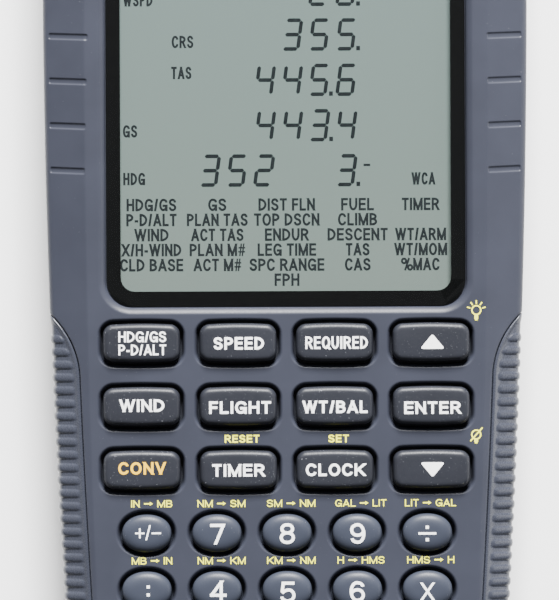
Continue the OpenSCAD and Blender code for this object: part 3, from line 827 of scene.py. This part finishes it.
def segment_material(name, colour, low, high):
    """Dark liquid crystal, a little uneven between the colours low and high."""
    m = material(name, colour, 0.5, 0.1)
    n = Nodes(m)
    n.to("Base Color", n.ramp(n.noise(900.0), [(0.3, low), (0.7, high)]))
    return m


def lcd_panel_material():
    panel = material("lcd_polariser", (0.115, 0.14, 0.133), 0.55, 0.3)
    n = Nodes(panel)
    place = n.place()
    y = n.new("ShaderNodeSeparateXYZ", {"Vector": place}).outputs["Y"]
    cloud = n.noise(26.0, 2.0, 0.5, place)
    up = n.range(n.maths("ADD", y, n.maths("MULTIPLY", cloud, 0.01)), -0.002, 0.05, 0.0, 1.0)
    tones = (0.088, 0.114, 0.101), (0.083, 0.113, 0.102), (0.082, 0.114, 0.106)
    base = n.ramp(up, list(zip((0.0, 0.45, 1.0), tones)))
    cells = n.new("ShaderNodeTexNoise", {"Scale": 3000.0, "Detail": 1.0, "Vector": place}).outputs["Fac"]
    n.to("Base Color", n.mix(n.range(cells, 0.3, 0.7, 0.0, 0.08), base, (0.07, 0.085, 0.08)))
    n.bump(cells, 0.15, 0.00001)
    return panel


lcd_mat = lcd_panel_material()
segment_mat = segment_material(
    "lcd_segments", (0.005, 0.008, 0.009), (0.004, 0.006, 0.007), (0.007, 0.01, 0.011))
word_mat = segment_material(
    "lcd_words", (0.006, 0.009, 0.01), (0.005, 0.007, 0.008), (0.009, 0.012, 0.013))


def lens_material():
    m = material("lens_acrylic", (0.02, 0.022, 0.022), 0.08, 0.5, alpha=0.05)
    n = Nodes(m)
    haze = n.noise(120.0, 3.0)
    n.to("Roughness", n.range(haze, 0.3, 0.7, 0.05, 0.12))
    return m


lens_mat = lens_material()


def plain(name, colour, roughness, metallic=0.0, scale=900.0, specular=0.5):
    """A simple material with fine variation in colour, gloss and surface."""
    m = material(name, colour, roughness, specular, metallic)
    n = Nodes(m)
    fine = n.noise(scale, 3.0)
    n.to("Base Color", n.ramp(fine, [(0.3, scaled(colour, 0.88)), (0.7, scaled(colour, 1.12))]))
    n.to("Roughness", n.range(fine, 0.3, 0.7, max(roughness - 0.05, 0.02), roughness + 0.07))
    n.bump(fine, 0.3, 0.00001)
    return m


def board_material():
    m = material("circuit_board_mask", (0.01, 0.13, 0.05), 0.35, 0.5, coat=0.2)
    n = Nodes(m)
    place = n.place()
    inputs = {"Scale": 260.0, "Mortar Size": 0.012, "Color1": (0.01, 0.12, 0.045, 1),
              "Color2": (0.012, 0.14, 0.05, 1), "Mortar": (0.03, 0.24, 0.09, 1), "Vector": place}
    tracks = n.new("ShaderNodeTexBrick", inputs)
    n.to("Base Color", tracks.outputs["Color"])
    n.bump(tracks.outputs["Fac"], 0.3, 0.00003)
    return m


def cell_material():
    """Battery jacket: a coloured wrap with a plain band at one end."""
    m = material("cell_wrap", (0.6, 0.34, 0.1), 0.3, 0.5, 0.3)
    n = Nodes(m)
    place = n.place()
    y = n.new("ShaderNodeSeparateXYZ", {"Vector": place}).outputs["Y"]
    along = n.range(y, -0.0681, -0.0236, 0.0, 1.0)
    band = n.ramp(along, [(0.0, (0.02, 0.02, 0.022)), (0.72, (0.62, 0.3, 0.09))])
    fine = n.noise(1500.0, 2.0, 0.5, place)
    n.to("Base Color", n.mix(n.range(fine, 0.3, 0.7, 0.0, 0.1), band, (0.4, 0.4, 0.4)))
    n.bump(fine, 0.15, 0.00001)
    return m


# ------------------------------------------------------------------ front half of the housing

# Sections as pairs of growth beyond the opening and drop below the face.
WELL_PROFILE = ((1.2, 0.0), (1.08, 0.0), (0.94, 0.04), (0.8, 0.14), (0.68, 0.32), (0.58, 0.56), (0.5, 0.9),
                (0.42, 1.4), (0.34, 2.0))
BEVEL_PROFILE = ((1.35, 0.0), (1.2, 0.0), (1.08, 0.02), (0.95, 0.06), (0.8, 0.13), (0.65, 0.21),
                 (0.5, 0.31), (0.35, 0.43), (0.22, 0.56), (0.1, 0.71), (0.01, 0.86))


def edge_loop():
    """Outer edge of the front half seen from above, set in where the grips wrap round."""
    full = outline(0)
    path = full[: len(full) // 2 + 1].tolist()
    low = [p for p in path if p[1] < GRIP_Y0 or p[0] < 20 and p[1] < 0]
    high = [p for p in path if p[1] > GRIP_Y1 and (p[0] >= 20 or p[1] > 0)]
    middle = []
    for y in np.linspace(GRIP_Y0, GRIP_Y1, 150):
        w = half_width(y)
        middle.append([min(w, max(w - GRIP_T, grip_inner_x(y) + 0.05)), y])
    path = np.array(low + middle + high)
    return np.concatenate([path, path[-2:0:-1] * np.array([-1, 1])])


def inner_loop():
    """Inside wall of the front half, thicker behind the grips."""
    thin, thick = outline(WALL), outline(GRIP_WALL)
    n = len(thin) // 2 + 1
    high = [tuple(p) for p in thin[:n] if p[1] >= GRIP_ZONE_Y]
    low = [tuple(p) for p in thick[:n] if p[1] < GRIP_ZONE_Y]
    step = [(half_width(GRIP_ZONE_Y) - wall, GRIP_ZONE_Y) for wall in (GRIP_WALL, WALL)]
    path = np.array(low + step + high)
    return np.concatenate([path, path[-2:0:-1] * np.array([-1, 1])])


def tube(solid, x, y, z0, z1, r_out, r_in):
    ring = np.array(arc(0, 0, 1, turn(24)))
    levels = [lift(at(x, y) + ring * r, z) for r, z in ((r_in, z0), (r_out, z0), (r_out, z1), (r_in, z1))]
    for a, b in zip(levels, levels[1:] + levels[:1]):
        solid.band(a, b)


def build_front_case():
    edge, inner = edge_loop(), inner_loop()
    loops = [(edge, None)]
    loops += [(outline(e), None) for e in (0.02, 0.08, 0.2, 0.36, 0.55, 0.76, 0.95, 1.1)]
    loops += [(face_outline(d), None) for d in (-0.32, -0.2, -0.1, 0.0, 0.1, 0.2, 0.32)]
    for side in (1, -1):
        mirror = np.array([side, 1])
        loops += [(grip_loop(-d) * mirror, None) for d in (0.4, 0.22, 0.1, 0.02, -0.03)]
    for centre, lean, half in slot_places():
        steps = (0.1, 0.0, -0.08, -0.17, -0.26, -0.35)
        loops += [(slot_loop(centre, lean, half, g), None) for g in steps]
    key_holes = []
    for count, centre, shape in ((12, wide_centre, wide_key_loop), (20, oval_centre, oval_key_loop)):
        for i in range(count):
            low = np.array([0, -0.1 if count == 12 else 0.0])
            for g, drop in WELL_PROFILE:
                loops.append((centre(i) + shape(g) + low * (1 - drop / 2), FACE_Z - drop))
            key_holes.append(centre(i) + shape(WELL_PROFILE[-1][0]))
    loops += [(window_loop(g), FACE_Z - drop) for g, drop in BEVEL_PROFILE]
    loops += [(window_loop(-0.02), LEDGE_Z), (window_loop(-0.3), LEDGE_Z)]
    window = view_loop(0.6)
    loops += [(view_loop(0.63), LEDGE_Z), (window, LEDGE_BOTTOM_Z)]
    holes = key_holes + [window]
    solid = Solid()
    skin, tris = plan_mesh(loops, edge, holes, top_z)
    solid.add(skin, tris)

    edge_z = top_z(edge)
    solid.band(lift(edge, PARTING_Z), lift(edge, PARTING_Z + 0.25))
    solid.band(lift(edge, PARTING_Z + 0.25), lift(edge, edge_z))

    block_loop = rounded_rect(LENS_HALF_W + 2, LENS_BOTTOM - 1.65, LENS_TOP + 1.9, 2)
    block_inner = rounded_rect(LENS_HALF_W + 1.97, LENS_BOTTOM - 1.62, LENS_TOP + 1.87, 1.97)

    def ceiling(points):
        e = np.maximum(distance(points, inner), 0)
        d = np.maximum(-distance(points, FACE), 0)
        return CEILING_Z - FACET_DROP * np.clip(d / np.maximum(d + e, 0.3), 0, 1)

    rim_z = CEILING_Z - FACET_DROP
    under = [(inner, rim_z), (FACE, None), (block_loop, CEILING_Z)]
    under += [(block_inner, LEDGE_BOTTOM_Z), (window, LEDGE_BOTTOM_Z)]
    under += [(hole, CEILING_Z) for hole in key_holes]
    skin, tris = plan_mesh(under, inner, holes, ceiling, flip=True)
    solid.add(skin, tris)
    solid.band(lift(inner, rim_z), lift(inner, PARTING_Z))
    skin, tris = plan_mesh([(edge, PARTING_Z), (inner, PARTING_Z)], edge, [inner], None, flip=True)
    solid.add(skin, tris)
    for x, y in CASE_SCREWS:
        tube(solid, x, y, *CASE_BOSS)
    for x, y in BOARD_SCREWS:
        tube(solid, x, y, *BOARD_BOSS)
    obj = mesh_object("front_housing", solid.verts, solid.faces, [case_mat], "housing", merge=0.0005)
    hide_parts("front_case")


build_front_case()

# ------------------------------------------------------------------ side grips


def build_grip(name, node, side):
    """Ribbed inlay: a shell that follows the facet, the edge and the side wall."""
    gap = 0.3
    z_low = GRIP_LOW_Z + 0.2
    y0, y1 = GRIP_Y0 + 0.25, GRIP_Y1 - 0.25
    rows = int((y1 - y0) / (RIB_PITCH / 16))
    ys = np.linspace(y1, y0, rows)
    plan_cols, wall_cols = 26, 10
    starts, ends = [], []
    for y in ys:
        ends.append(half_width(y))
        starts.append(min(grip_inner_x(y) + gap, half_width(y) - 0.06))
    starts, ends = np.array(starts), np.array(ends)
    share = 1 - (1 - np.linspace(0, 1, plan_cols)) ** 1.7
    x = starts[:, None] + share[None] * (ends - starts)[:, None]
    yy = np.repeat(ys[:, None], plan_cols, 1)
    z = outer_z(np.stack([x.ravel(), yy.ravel()], 1)).reshape(x.shape)
    wall = np.linspace(0, 1, wall_cols + 1)[1:]
    wz = z[:, -1:] + (z_low - z[:, -1:]) * wall[None]
    grid = np.stack([
        np.concatenate([x, np.repeat(ends[:, None], wall_cols, 1)], 1),
        np.repeat(ys[:, None], plan_cols + wall_cols, 1),
        np.concatenate([z, wz], 1)], -1)
    along = np.gradient(grid, axis=0)
    across = np.gradient(grid, axis=1)
    normal = np.cross(along, across)
    normal /= np.maximum(np.linalg.norm(normal, axis=-1, keepdims=True), 1e-9)
    normal *= np.sign(normal[..., 0:1] + normal[..., 2:3] + 1e-9)
    step = np.linalg.norm(np.diff(grid, axis=1), axis=-1)
    from_edge = np.concatenate([np.zeros((rows, 1)), np.cumsum(step, 1)], 1)
    to_floor = from_edge[:, -1:] - from_edge
    phase = (ys - RIB_FIRST_Y) / RIB_PITCH
    t = np.abs(phase - np.round(phase))
    bar = np.clip(1 - (t / RIB_HALF) ** 2, 0, 1) ** 0.5 * (ys < -12)
    tip = RIB_HALF * RIB_PITCH * (1 - bar)
    reach = np.minimum(from_edge - 1.0 - tip[:, None], to_floor - 0.8 - tip[:, None])
    height = bar[:, None] * np.sqrt(np.clip(1 - (1 - np.clip(reach / 0.45, 0, 1)) ** 2, 0, 1))
    sunk = smooth((from_edge - 0.15) / 0.95) * smooth((to_floor + 0.1) / 0.6)
    sunk *= (smooth((GRIP_Y1 - 0.7 - ys) / 1.5) * smooth((ys - GRIP_Y0 - 1.7) / 1.6))[:, None]
    depth = (0.2 + 0.08 * smooth((from_edge - 2.8) / 1.6)) * sunk * (1 - height)
    edge_round = 0.14 * np.clip(1 - from_edge / 0.2, 0, 1) ** 2
    outer = grid - normal * (depth + edge_round)[..., None]
    cols = outer.shape[1]
    inner = grid - normal * (GRIP_T - 0.2)
    mirror = np.array([side, 1, 1])
    verts = np.concatenate([(outer * mirror).reshape(-1, 3), (inner * mirror).reshape(-1, 3)])
    n = rows * cols
    faces = []
    for r in range(rows - 1):
        for c in range(cols - 1):
            a, b = r * cols + c, (r + 1) * cols + c
            quad = (a, b, b + 1, a + 1)
            faces.append(quad)
            faces.append(tuple(i + n for i in quad[::-1]))
    border = list(range(cols)) + [r * cols + cols - 1 for r in range(1, rows)]
    border += [(rows - 1) * cols + c for c in range(cols - 2, -1, -1)]
    border += [r * cols for r in range(rows - 2, 0, -1)]
    for i, a in enumerate(border):
        b = border[(i + 1) % len(border)]
        faces.append((a, b, b + n, a + n))
    if side < 0:
        faces = [f[::-1] for f in faces]
    obj = mesh_object(name, verts, faces, [grip_mat], "housing", sharp=50)
    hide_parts(node)


build_grip("right_grip_inlay", "right_grip", 1)
build_grip("left_grip_inlay", "left_grip", -1)

# ------------------------------------------------------------------ keys

# Sections of the caps' upper edges as pairs of inset and drop below the crown.
WIDE_ROUND = ((0.0, 1.0), (0.03, 0.78), (0.09, 0.56), (0.18, 0.38), (0.3, 0.235), (0.44, 0.13),
              (0.58, 0.06), (0.74, 0.02), (0.95, 0.004), (1.2, 0.0))
OVAL_ROUND = ((0.0, 1.05), (0.03, 0.84), (0.1, 0.66), (0.22, 0.5), (0.4, 0.35), (0.65, 0.22),
              (0.95, 0.12), (1.3, 0.05), (1.7, 0.01), (2.1, 0.0))


def wide_crown(points):
    return KEY_TOP_Z - 0.08 * (points[:, 0] / 6.5) ** 2 - 0.06 * (points[:, 1] / 3.3) ** 2


def oval_crown(points):
    return KEY_TOP_Z - 0.16 * (points[:, 0] / 4.2) ** 2 - 0.16 * (points[:, 1] / 3.2) ** 2


def key_cap(name, node, centre, shape, crown, profile, polys, mats):
    solid = Solid()
    base = shape(0)
    angle = np.arctan2(base[:, 1] / base[:, 1].max(), base[:, 0] / base[:, 0].max())
    round_loop = 1.6 * np.stack([np.cos(angle), np.sin(angle)], 1)
    rings = [lift(round_loop, PLUNGER_Z), lift(round_loop, FLANGE_BOTTOM), lift(shape(0.75), FLANGE_BOTTOM),
             lift(shape(0.75), FLANGE_TOP), lift(base, FLANGE_TOP)]
    for inset, drop in profile:
        loop = shape(-inset)
        rings.append(lift(loop, crown(loop) - drop))
    plateau = shape(-profile[-1][0])
    for k in (0.75, 0.5, 0.25):
        loop = plateau * k
        rings.append(lift(loop, crown(loop)))
    for a, b in zip(rings, rings[1:]):
        solid.band(a, b)
    n = len(base)
    solid.add(list(rings[-1]) + [(0, 0, KEY_TOP_Z)], [(j, (j + 1) % n, n) for j in range(n)])
    solid.add(rings[0], [tuple(range(n - 1, -1, -1))])
    printed(solid, polys, crown, 1)
    verts = np.array(solid.verts) + np.array([centre[0], centre[1], 0])
    body = "cap_" + node[4:]
    obj = mesh_object(name, verts, solid.faces, mats, body, solid.mats, sharp=50, merge=0.0005)
    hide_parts(node)


# Widths of the printed legends, and how far each sits from the middle of its key.
WIDE_TEXT_WIDTH = {"HDG/GS": 8.1, "P-D/ALT": 8.1, "SPEED": 8.55, "REQUIRED": 10.6, "WIND": 7.7,
                   "FLIGHT": 10.5, "WT/BAL": 11.1, "ENTER": 9.8, "CONV": 8.15, "TIMER": 9.1, "CLOCK": 10.3}

LEGEND_AT = {"SPEED": (0.16, -0.11), "REQUIRED": (0.34, -0.05), "^": (0.2, 0.1), "WIND": (0.08, 0.19),
             "FLIGHT": (0.33, -0.2), "WT/BAL": (0.05, -0.15), "ENTER": (0.18, -0.35), "CONV": (0.05, 0.34),
             "TIMER": (0.01, -0.06), "CLOCK": (0.07, -0.03), "v": (0.14, -0.1)}
DIGIT_AT = {"7": (0.13, -0.09), "8": (0.04, -0.03), "9": (0.07, -0.06), "4": (0.18, -0.03), "5": (0.1, -0.26),
            "6": (-0.05, -0.21)}


def build_keys():
    for i, (node, lines) in enumerate(WIDE_KEYS):
        ink = orange_ink if node == "key_convert" else white_ink
        text, width = lines[0], WIDE_TEXT_WIDTH.get(lines[0])
        if text in "^v":
            polys = lettering(text, LEGEND_AT[text], 2.55, 0.3)
        elif len(lines) == 2:
            polys = []
            for text, y in zip(lines, (1.06, -1.15)):
                polys += lettering(text, (0.18, y), 1.82, 0.3, gap=0.1, width=WIDE_TEXT_WIDTH[text])
        else:
            weight = 0.34 if text == "REQUIRED" else 0.42
            polys = lettering(text, LEGEND_AT[text], 2.12, weight, gap=0.13, width=width)
        place, mats = wide_centre(i), [wide_mat, ink]
        key_cap(node + "_cap", node, place, wide_key_loop, wide_crown, WIDE_ROUND, polys, mats)
    for i, (node, text) in enumerate(OVAL_KEYS):
        if text.isdigit():
            stretch = 1.0 if text == "1" else 1.22
            polys = lettering(text, DIGIT_AT.get(text, (0.05, -0.1)), 3.5, 0.5, stretch=stretch)
        elif text == "+/~":
            polys = lettering(text, (0.28, 0.23), 2.55, 0.27, gap=0.07)
        elif len(text) > 1:
            polys = lettering(text, (0, 0), 1.9, 0.34)
        elif text in ".:":
            polys = lettering(text, (0.27, 0.4), 2.6, 0.52)
        else:
            stretch = {"|": 1.4, "X": 1.05}.get(text, 1.15)
            y, tall = -0.25 if text == "X" else 0.05, 3.0 if text in "X|" else 3.4
            polys = lettering(text, (-0.05, y), tall, 0.38, stretch=stretch)
        place, mats = oval_centre(i), [oval_mat, white_ink]
        key_cap(node + "_cap", node, place, oval_key_loop, oval_crown, OVAL_ROUND, polys, mats)


build_keys()

# ------------------------------------------------------------------ print on the housing


def bulb(x, y, lit):
    """Small lamp symbol, with rays when lit and a slash when off."""
    foot = y - 0.25 if lit else y
    polys = stroke(circle(x, y, 0.76, 18), 0.24, True)
    polys.append(block(x - 0.34, foot - 1.25, x + 0.3, y - 0.7))
    polys.append(block(x - 0.24, foot - 1.5, x + 0.2, foot - 1.2))
    for a in np.radians((18, 54, 90, 126, 162) if lit else (48,)):
        way = at(math.cos(a), math.sin(a))
        start, stop, t = (1.05, 1.66, 0.22) if lit else (-1.5, 1.6, 0.24)
        polys += stroke([at(x, y) + way * start, at(x, y) + way * stop], t)
    return [polys]


LABEL_WIDTHS = {
    "IN > MB": 7.0, "NM > SM": 8.3, "SM > NM": 8.3, "GAL > LIT": 8.7, "LIT > GAL": 8.7,
    "MB > IN": 7.0, "NM > KM": 8.3, "KM > NM": 8.3, "H > HMS": 8.0, "HMS > H": 8.0,
    "FT > M": 6.2, "*F > *C": 7.0, "LB > KG": 7.6, "NM > FT": 7.8, "KM > SM": 8.3,
    "M > FT": 6.2, "*C > *F": 7.0, "KG > LB": 7.6, "FT > NM": 7.8, "SM > KM": 8.3,
}


def build_case_print():
    polys = []
    polys += lettering("RESET", (-7.58, -30.15), 1.35, 0.27, width=5.9)
    polys += lettering("SET", (8.83, -30.17), 1.35, 0.27, width=3.5)
    for row, labels in enumerate(OVAL_LABELS):
        for col, text in enumerate(labels):
            x, y = oval_centre(row * 5 + col)
            place = (x + 0.88 - 0.08 * col, y + 5.05)
            polys += lettering(text, place, 1.22, 0.18, gap=0.12, width=LABEL_WIDTHS[text])
    polys += bulb(32.35, -8.43, True) + bulb(32.25, -29.6, False)
    solid = Solid()
    printed(solid, polys, outer_z, 0, 0.05)
    obj = mesh_object("housing_print", solid.verts, solid.faces, [yellow_ink], "housing")


build_case_print()

# ------------------------------------------------------------------ display

SEGMENTS = {"0": "abcdef", "1": "bc", "2": "abged", "3": "abgcd", "4": "fgbc", "5": "afgcd", "6": "afgedc",
            "7": "abc", "8": "abcdefg", "9": "abcdfg"}
DIGIT_W, DIGIT_H, DIGIT_T = 2.55, 4.9, 0.62
DIGIT_LEAN = math.tan(math.radians(7.6))
DIGIT_PITCH = 4.63


def digit(char, x, y):
    """Seven-segment figure whose lower left corner is at x, y; it leans to the right."""
    w, h, t, gap = DIGIT_W, DIGIT_H, DIGIT_T, 0.07
    ends = {"a": ((0, h), (w, h)), "b": ((w, h), (w, h / 2)), "c": ((w, h / 2), (w, 0)),
            "d": ((0, 0), (w, 0)), "e": ((0, h / 2), (0, 0)), "f": ((0, h), (0, h / 2)),
            "g": ((0, h / 2), (w, h / 2))}
    polys = []
    for name in SEGMENTS[char]:
        p, q = (np.array(e, float) for e in ends[name])
        way = (q - p) / np.linalg.norm(q - p)
        side = np.array([-way[1], way[0]]) * t / 2
        p, q = p + way * gap, q - way * gap
        tip = way * t * 0.42
        shape = [p, p + tip - side, q - tip - side, q, q - tip + side, p + tip + side]
        polys.append([at(x + s[0] + DIGIT_LEAN * s[1], y + s[1]) for s in shape])
    return polys


def number(text, x, y):
    polys = []
    for char in text:
        if char == ".":
            polys.append([block(x - 1.36, y - 0.27, x - 0.72, y + 0.46)])
        elif char == "'":
            polys.append([block(x - 0.12, y + 3.15, x + 1.0, y + 3.52)])
        else:
            polys.append(digit(char, x, y))
            x += DIGIT_PITCH
    return polys


LCD_MENU = (
    (-22.93, (("HDG/GS", 8.5), ("P-D/ALT", 8.6), ("WIND", 5.9), ("X/H-WIND", 10.3), ("CLD BASE", 10.8))),
    (-11.68, (("GS", 3.1), ("PLAN TAS", 10.4), ("ACT TAS", 9.0), ("PLAN M#", 9.5), ("ACT M#", 8.2))),
    (0.19, (("DIST FLN", 9.8), ("TOP DSCN", 11.3), ("ENDUR", 7.6), ("LEG TIME", 10.0), ("SPC RANGE", 12.8),
            ("FPH", 4.25))),
    (12.29, (("FUEL", 5.6), ("CLIMB", 6.7), ("DESCENT", 10.3), ("TAS", 4.05), ("CAS", 4.4))),
    (23.06, (("TIMER", 6.5), None, ("WT/ARM", 8.8), ("WT/MOM", 9.15), ("%MAC", 6.6))),
)
LCD_TAGS = (("WDIR", -27.65, 52.2, 4.9), ("WSPD", -27.65, 44.75, 5.1), ("CRS", -19.35, 37.6, 3.7),
            ("TAS", -19.45, 32.3, 3.45), ("GS", -27.75, 22.35, 2.45), ("HDG", -27.72, 14.2, 3.75),
            ("WCA", 21.55, 14.1, 4.1))
LCD_NUMBERS = (("24.", 4.3, 51.35), ("28.", 4.3, 43.95), ("355.", -0.35, 36.32), ("445.6", -5.02, 28.57),
               ("443.4", -5.02, 20.82), ("352", -14.5, 13.13), ("3.'", 8.85, 13.12))


def build_lcd_print():
    solid = Solid()

    def flat(points):
        return np.full(len(points), LCD_TOP_Z)

    polys = []
    for text, x, y in LCD_NUMBERS:
        polys += number(text, x, y)
    printed(solid, polys, flat, 0, 0.02, 0.01)
    words = []
    for x, column in LCD_MENU:
        for row, entry in enumerate(column):
            if entry:
                words += lettering(entry[0], (x, 9.75 - 2.57 * row), 2.12, 0.38, gap=0.1, width=entry[1])
    for text, x, y, width in LCD_TAGS:
        words += lettering(text, (x, y), 2.1, 0.36, gap=0.12, left=True, width=width)
    printed(solid, words, flat, 1, 0.02, 0.01)
    obj = mesh_object("lcd_print", solid.verts, solid.faces, [segment_mat, word_mat], "housing", solid.mats)


build_lcd_print()

# ------------------------------------------------------------------ finishes of the carried-over pieces

black_mat = plain("inner_black", (0.012, 0.012, 0.013), 0.45, specular=0.3)
FINISHES = {
    "rear_case": back_mat,
    "battery_door": back_mat,
    "display_lens": lens_mat,
    "lens_adhesive": plain("adhesive_black", (0.001, 0.0011, 0.0012), 0.6, specular=0.04),
    "lcd_panel": lcd_mat,
    "backlight_panel": plain("diffuser_film", (0.8, 0.84, 0.8), 0.6),
    "display_frame": black_mat,
    "lcd_connector_strips": plain("connector_rubber", (0.55, 0.28, 0.32), 0.7, scale=3000.0),
    "key_mat": plain("mat_rubber", (0.05, 0.05, 0.055), 0.75),
    "contact_pills": plain("carbon_pill", (0.015, 0.015, 0.016), 0.65),
    "main_board": board_material(),
    "processor": plain("chip_epoxy", (0.018, 0.018, 0.02), 0.5),
    "crystal": plain("tin_can", (0.62, 0.61, 0.58), 0.3, 1.0, 2500.0),
    "capacitors": plain("capacitor_sleeve", (0.02, 0.03, 0.12), 0.35),
    "buzzer": plain("buzzer_shell", (0.014, 0.014, 0.015), 0.4),
    "battery_contact_plates": plain("nickel", (0.66, 0.63, 0.57), 0.28, 1.0, 2500.0),
    "battery_contact_springs": plain("spring_nickel", (0.66, 0.63, 0.57), 0.28, 1.0, 2500.0),
    "case_screws": plain("zinc_screw", (0.5, 0.5, 0.52), 0.36, 1.0, 2500.0),
    "board_screws": plain("board_screw", (0.5, 0.5, 0.5), 0.36, 1.0, 2500.0),
}
cell_mat = cell_material()


def round_shading():
    """Geometry nodes that shade curved CAD faces smooth and keep edges over 32 degrees sharp."""
    tree = bpy.data.node_groups.new("round_shading", "GeometryNodeTree")
    for way in ("INPUT", "OUTPUT"):
        tree.interface.new_socket("Geometry", in_out=way, socket_type="NodeSocketGeometry")
    out = add_node(tree, "NodeGroupInput").outputs[0]
    out = add_node(tree, "GeometryNodeMergeByDistance", {"Geometry": out, "Distance": 0.000001}).outputs[0]
    out = add_node(tree, "GeometryNodeRemoveAttribute", {"Geometry": out, "Name": "custom_normal"}).outputs[0]
    out = add_node(tree, "GeometryNodeSetShadeSmooth", {"Geometry": out}).outputs[0]
    angle = add_node(tree, "GeometryNodeInputMeshEdgeAngle").outputs["Unsigned Angle"]
    limits = {0: angle, 1: math.radians(32)}
    below = add_node(tree, "FunctionNodeCompare", limits, operation="LESS_THAN").outputs[0]
    inputs = {"Geometry": out, "Shade Smooth": below}
    out = add_node(tree, "GeometryNodeSetShadeSmooth", inputs, domain="EDGE").outputs[0]
    add_node(tree, "NodeGroupOutput", {0: out})
    return tree


ROUND_SHADING = round_shading()
for node in ("rear_case", "battery_door", "case_screws", "board_screws", "crystal", "capacitors", "buzzer"):
    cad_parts[node].modifiers.new("round_shading", "NODES").node_group = ROUND_SHADING
for i in range(1, 5):
    FINISHES[f"battery_cell_{i}"] = cell_mat
for node, finish in FINISHES.items():
    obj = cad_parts[node]
    obj.data.materials.clear()
    obj.data.materials.append(finish)

# ------------------------------------------------------------------ floor, light and camera


def build_stage():
    mesh = bpy.data.meshes.new("table_top")
    half = 3.0
    corners = [(-half, -half, 0), (half, -half, 0), (half, half, 0), (-half, half, 0)]
    mesh.from_pydata(corners, [], [(0, 1, 2, 3)])
    floor = bpy.data.objects.new("table_top", mesh)
    bpy.context.scene.collection.objects.link(floor)
    m = material("pale_table", (0.96, 0.96, 0.96), 0.7, 0.1)
    n = Nodes(m)
    n.to("Base Color", n.ramp(n.noise(3.0), [(0.3, (0.95, 0.95, 0.95)), (0.7, (0.97, 0.97, 0.97))]))
    mesh.materials.append(m)


def area_light(name, place, size, power):
    """Square soft light aimed at the origin."""
    data = bpy.data.lights.new(name, "AREA")
    data.size = size
    data.energy = power
    light = bpy.data.objects.new(name, data)
    light.location = place
    light.rotation_euler = (-Vector(place)).to_track_quat("-Z", "Y").to_euler()
    bpy.context.scene.collection.objects.link(light)


build_stage()
area_light("key_light", (0.15, 1.72, 1.12), 0.7, 328.0)
area_light("side_fill", (1.25, 0.1, 0.5), 0.7, 7.0)
area_light("left_fill", (-1.25, 0.2, 0.5), 0.7, 1.5)
world = bpy.data.worlds.new("studio")
bpy.context.scene.world = world
world.use_nodes = True
background = world.node_tree.nodes["Background"]
background.inputs["Color"].default_value = (1, 1, 1, 1)
background.inputs["Strength"].default_value = 0.26

# The camera looks straight down, at the height where the frame holds VIEW_TALL of the keypad face.
VIEW_TALL = 102.24 * MM
LENS, SENSOR = 250.0, 36.0
FOCUS_Z = 0.0185
camera_data = bpy.data.cameras.new("camera")
camera_data.lens = LENS
camera_data.sensor_width = SENSOR
camera_data.clip_start = 0.01
camera_data.clip_end = 20
camera = bpy.data.objects.new("camera", camera_data)
bpy.context.scene.collection.objects.link(camera)
camera.location = (-1.11 * MM, -6.58 * MM, FOCUS_Z + LENS * VIEW_TALL / SENSOR)
camera.rotation_euler = (0, 0, -0.0042)
bpy.context.scene.camera = camera
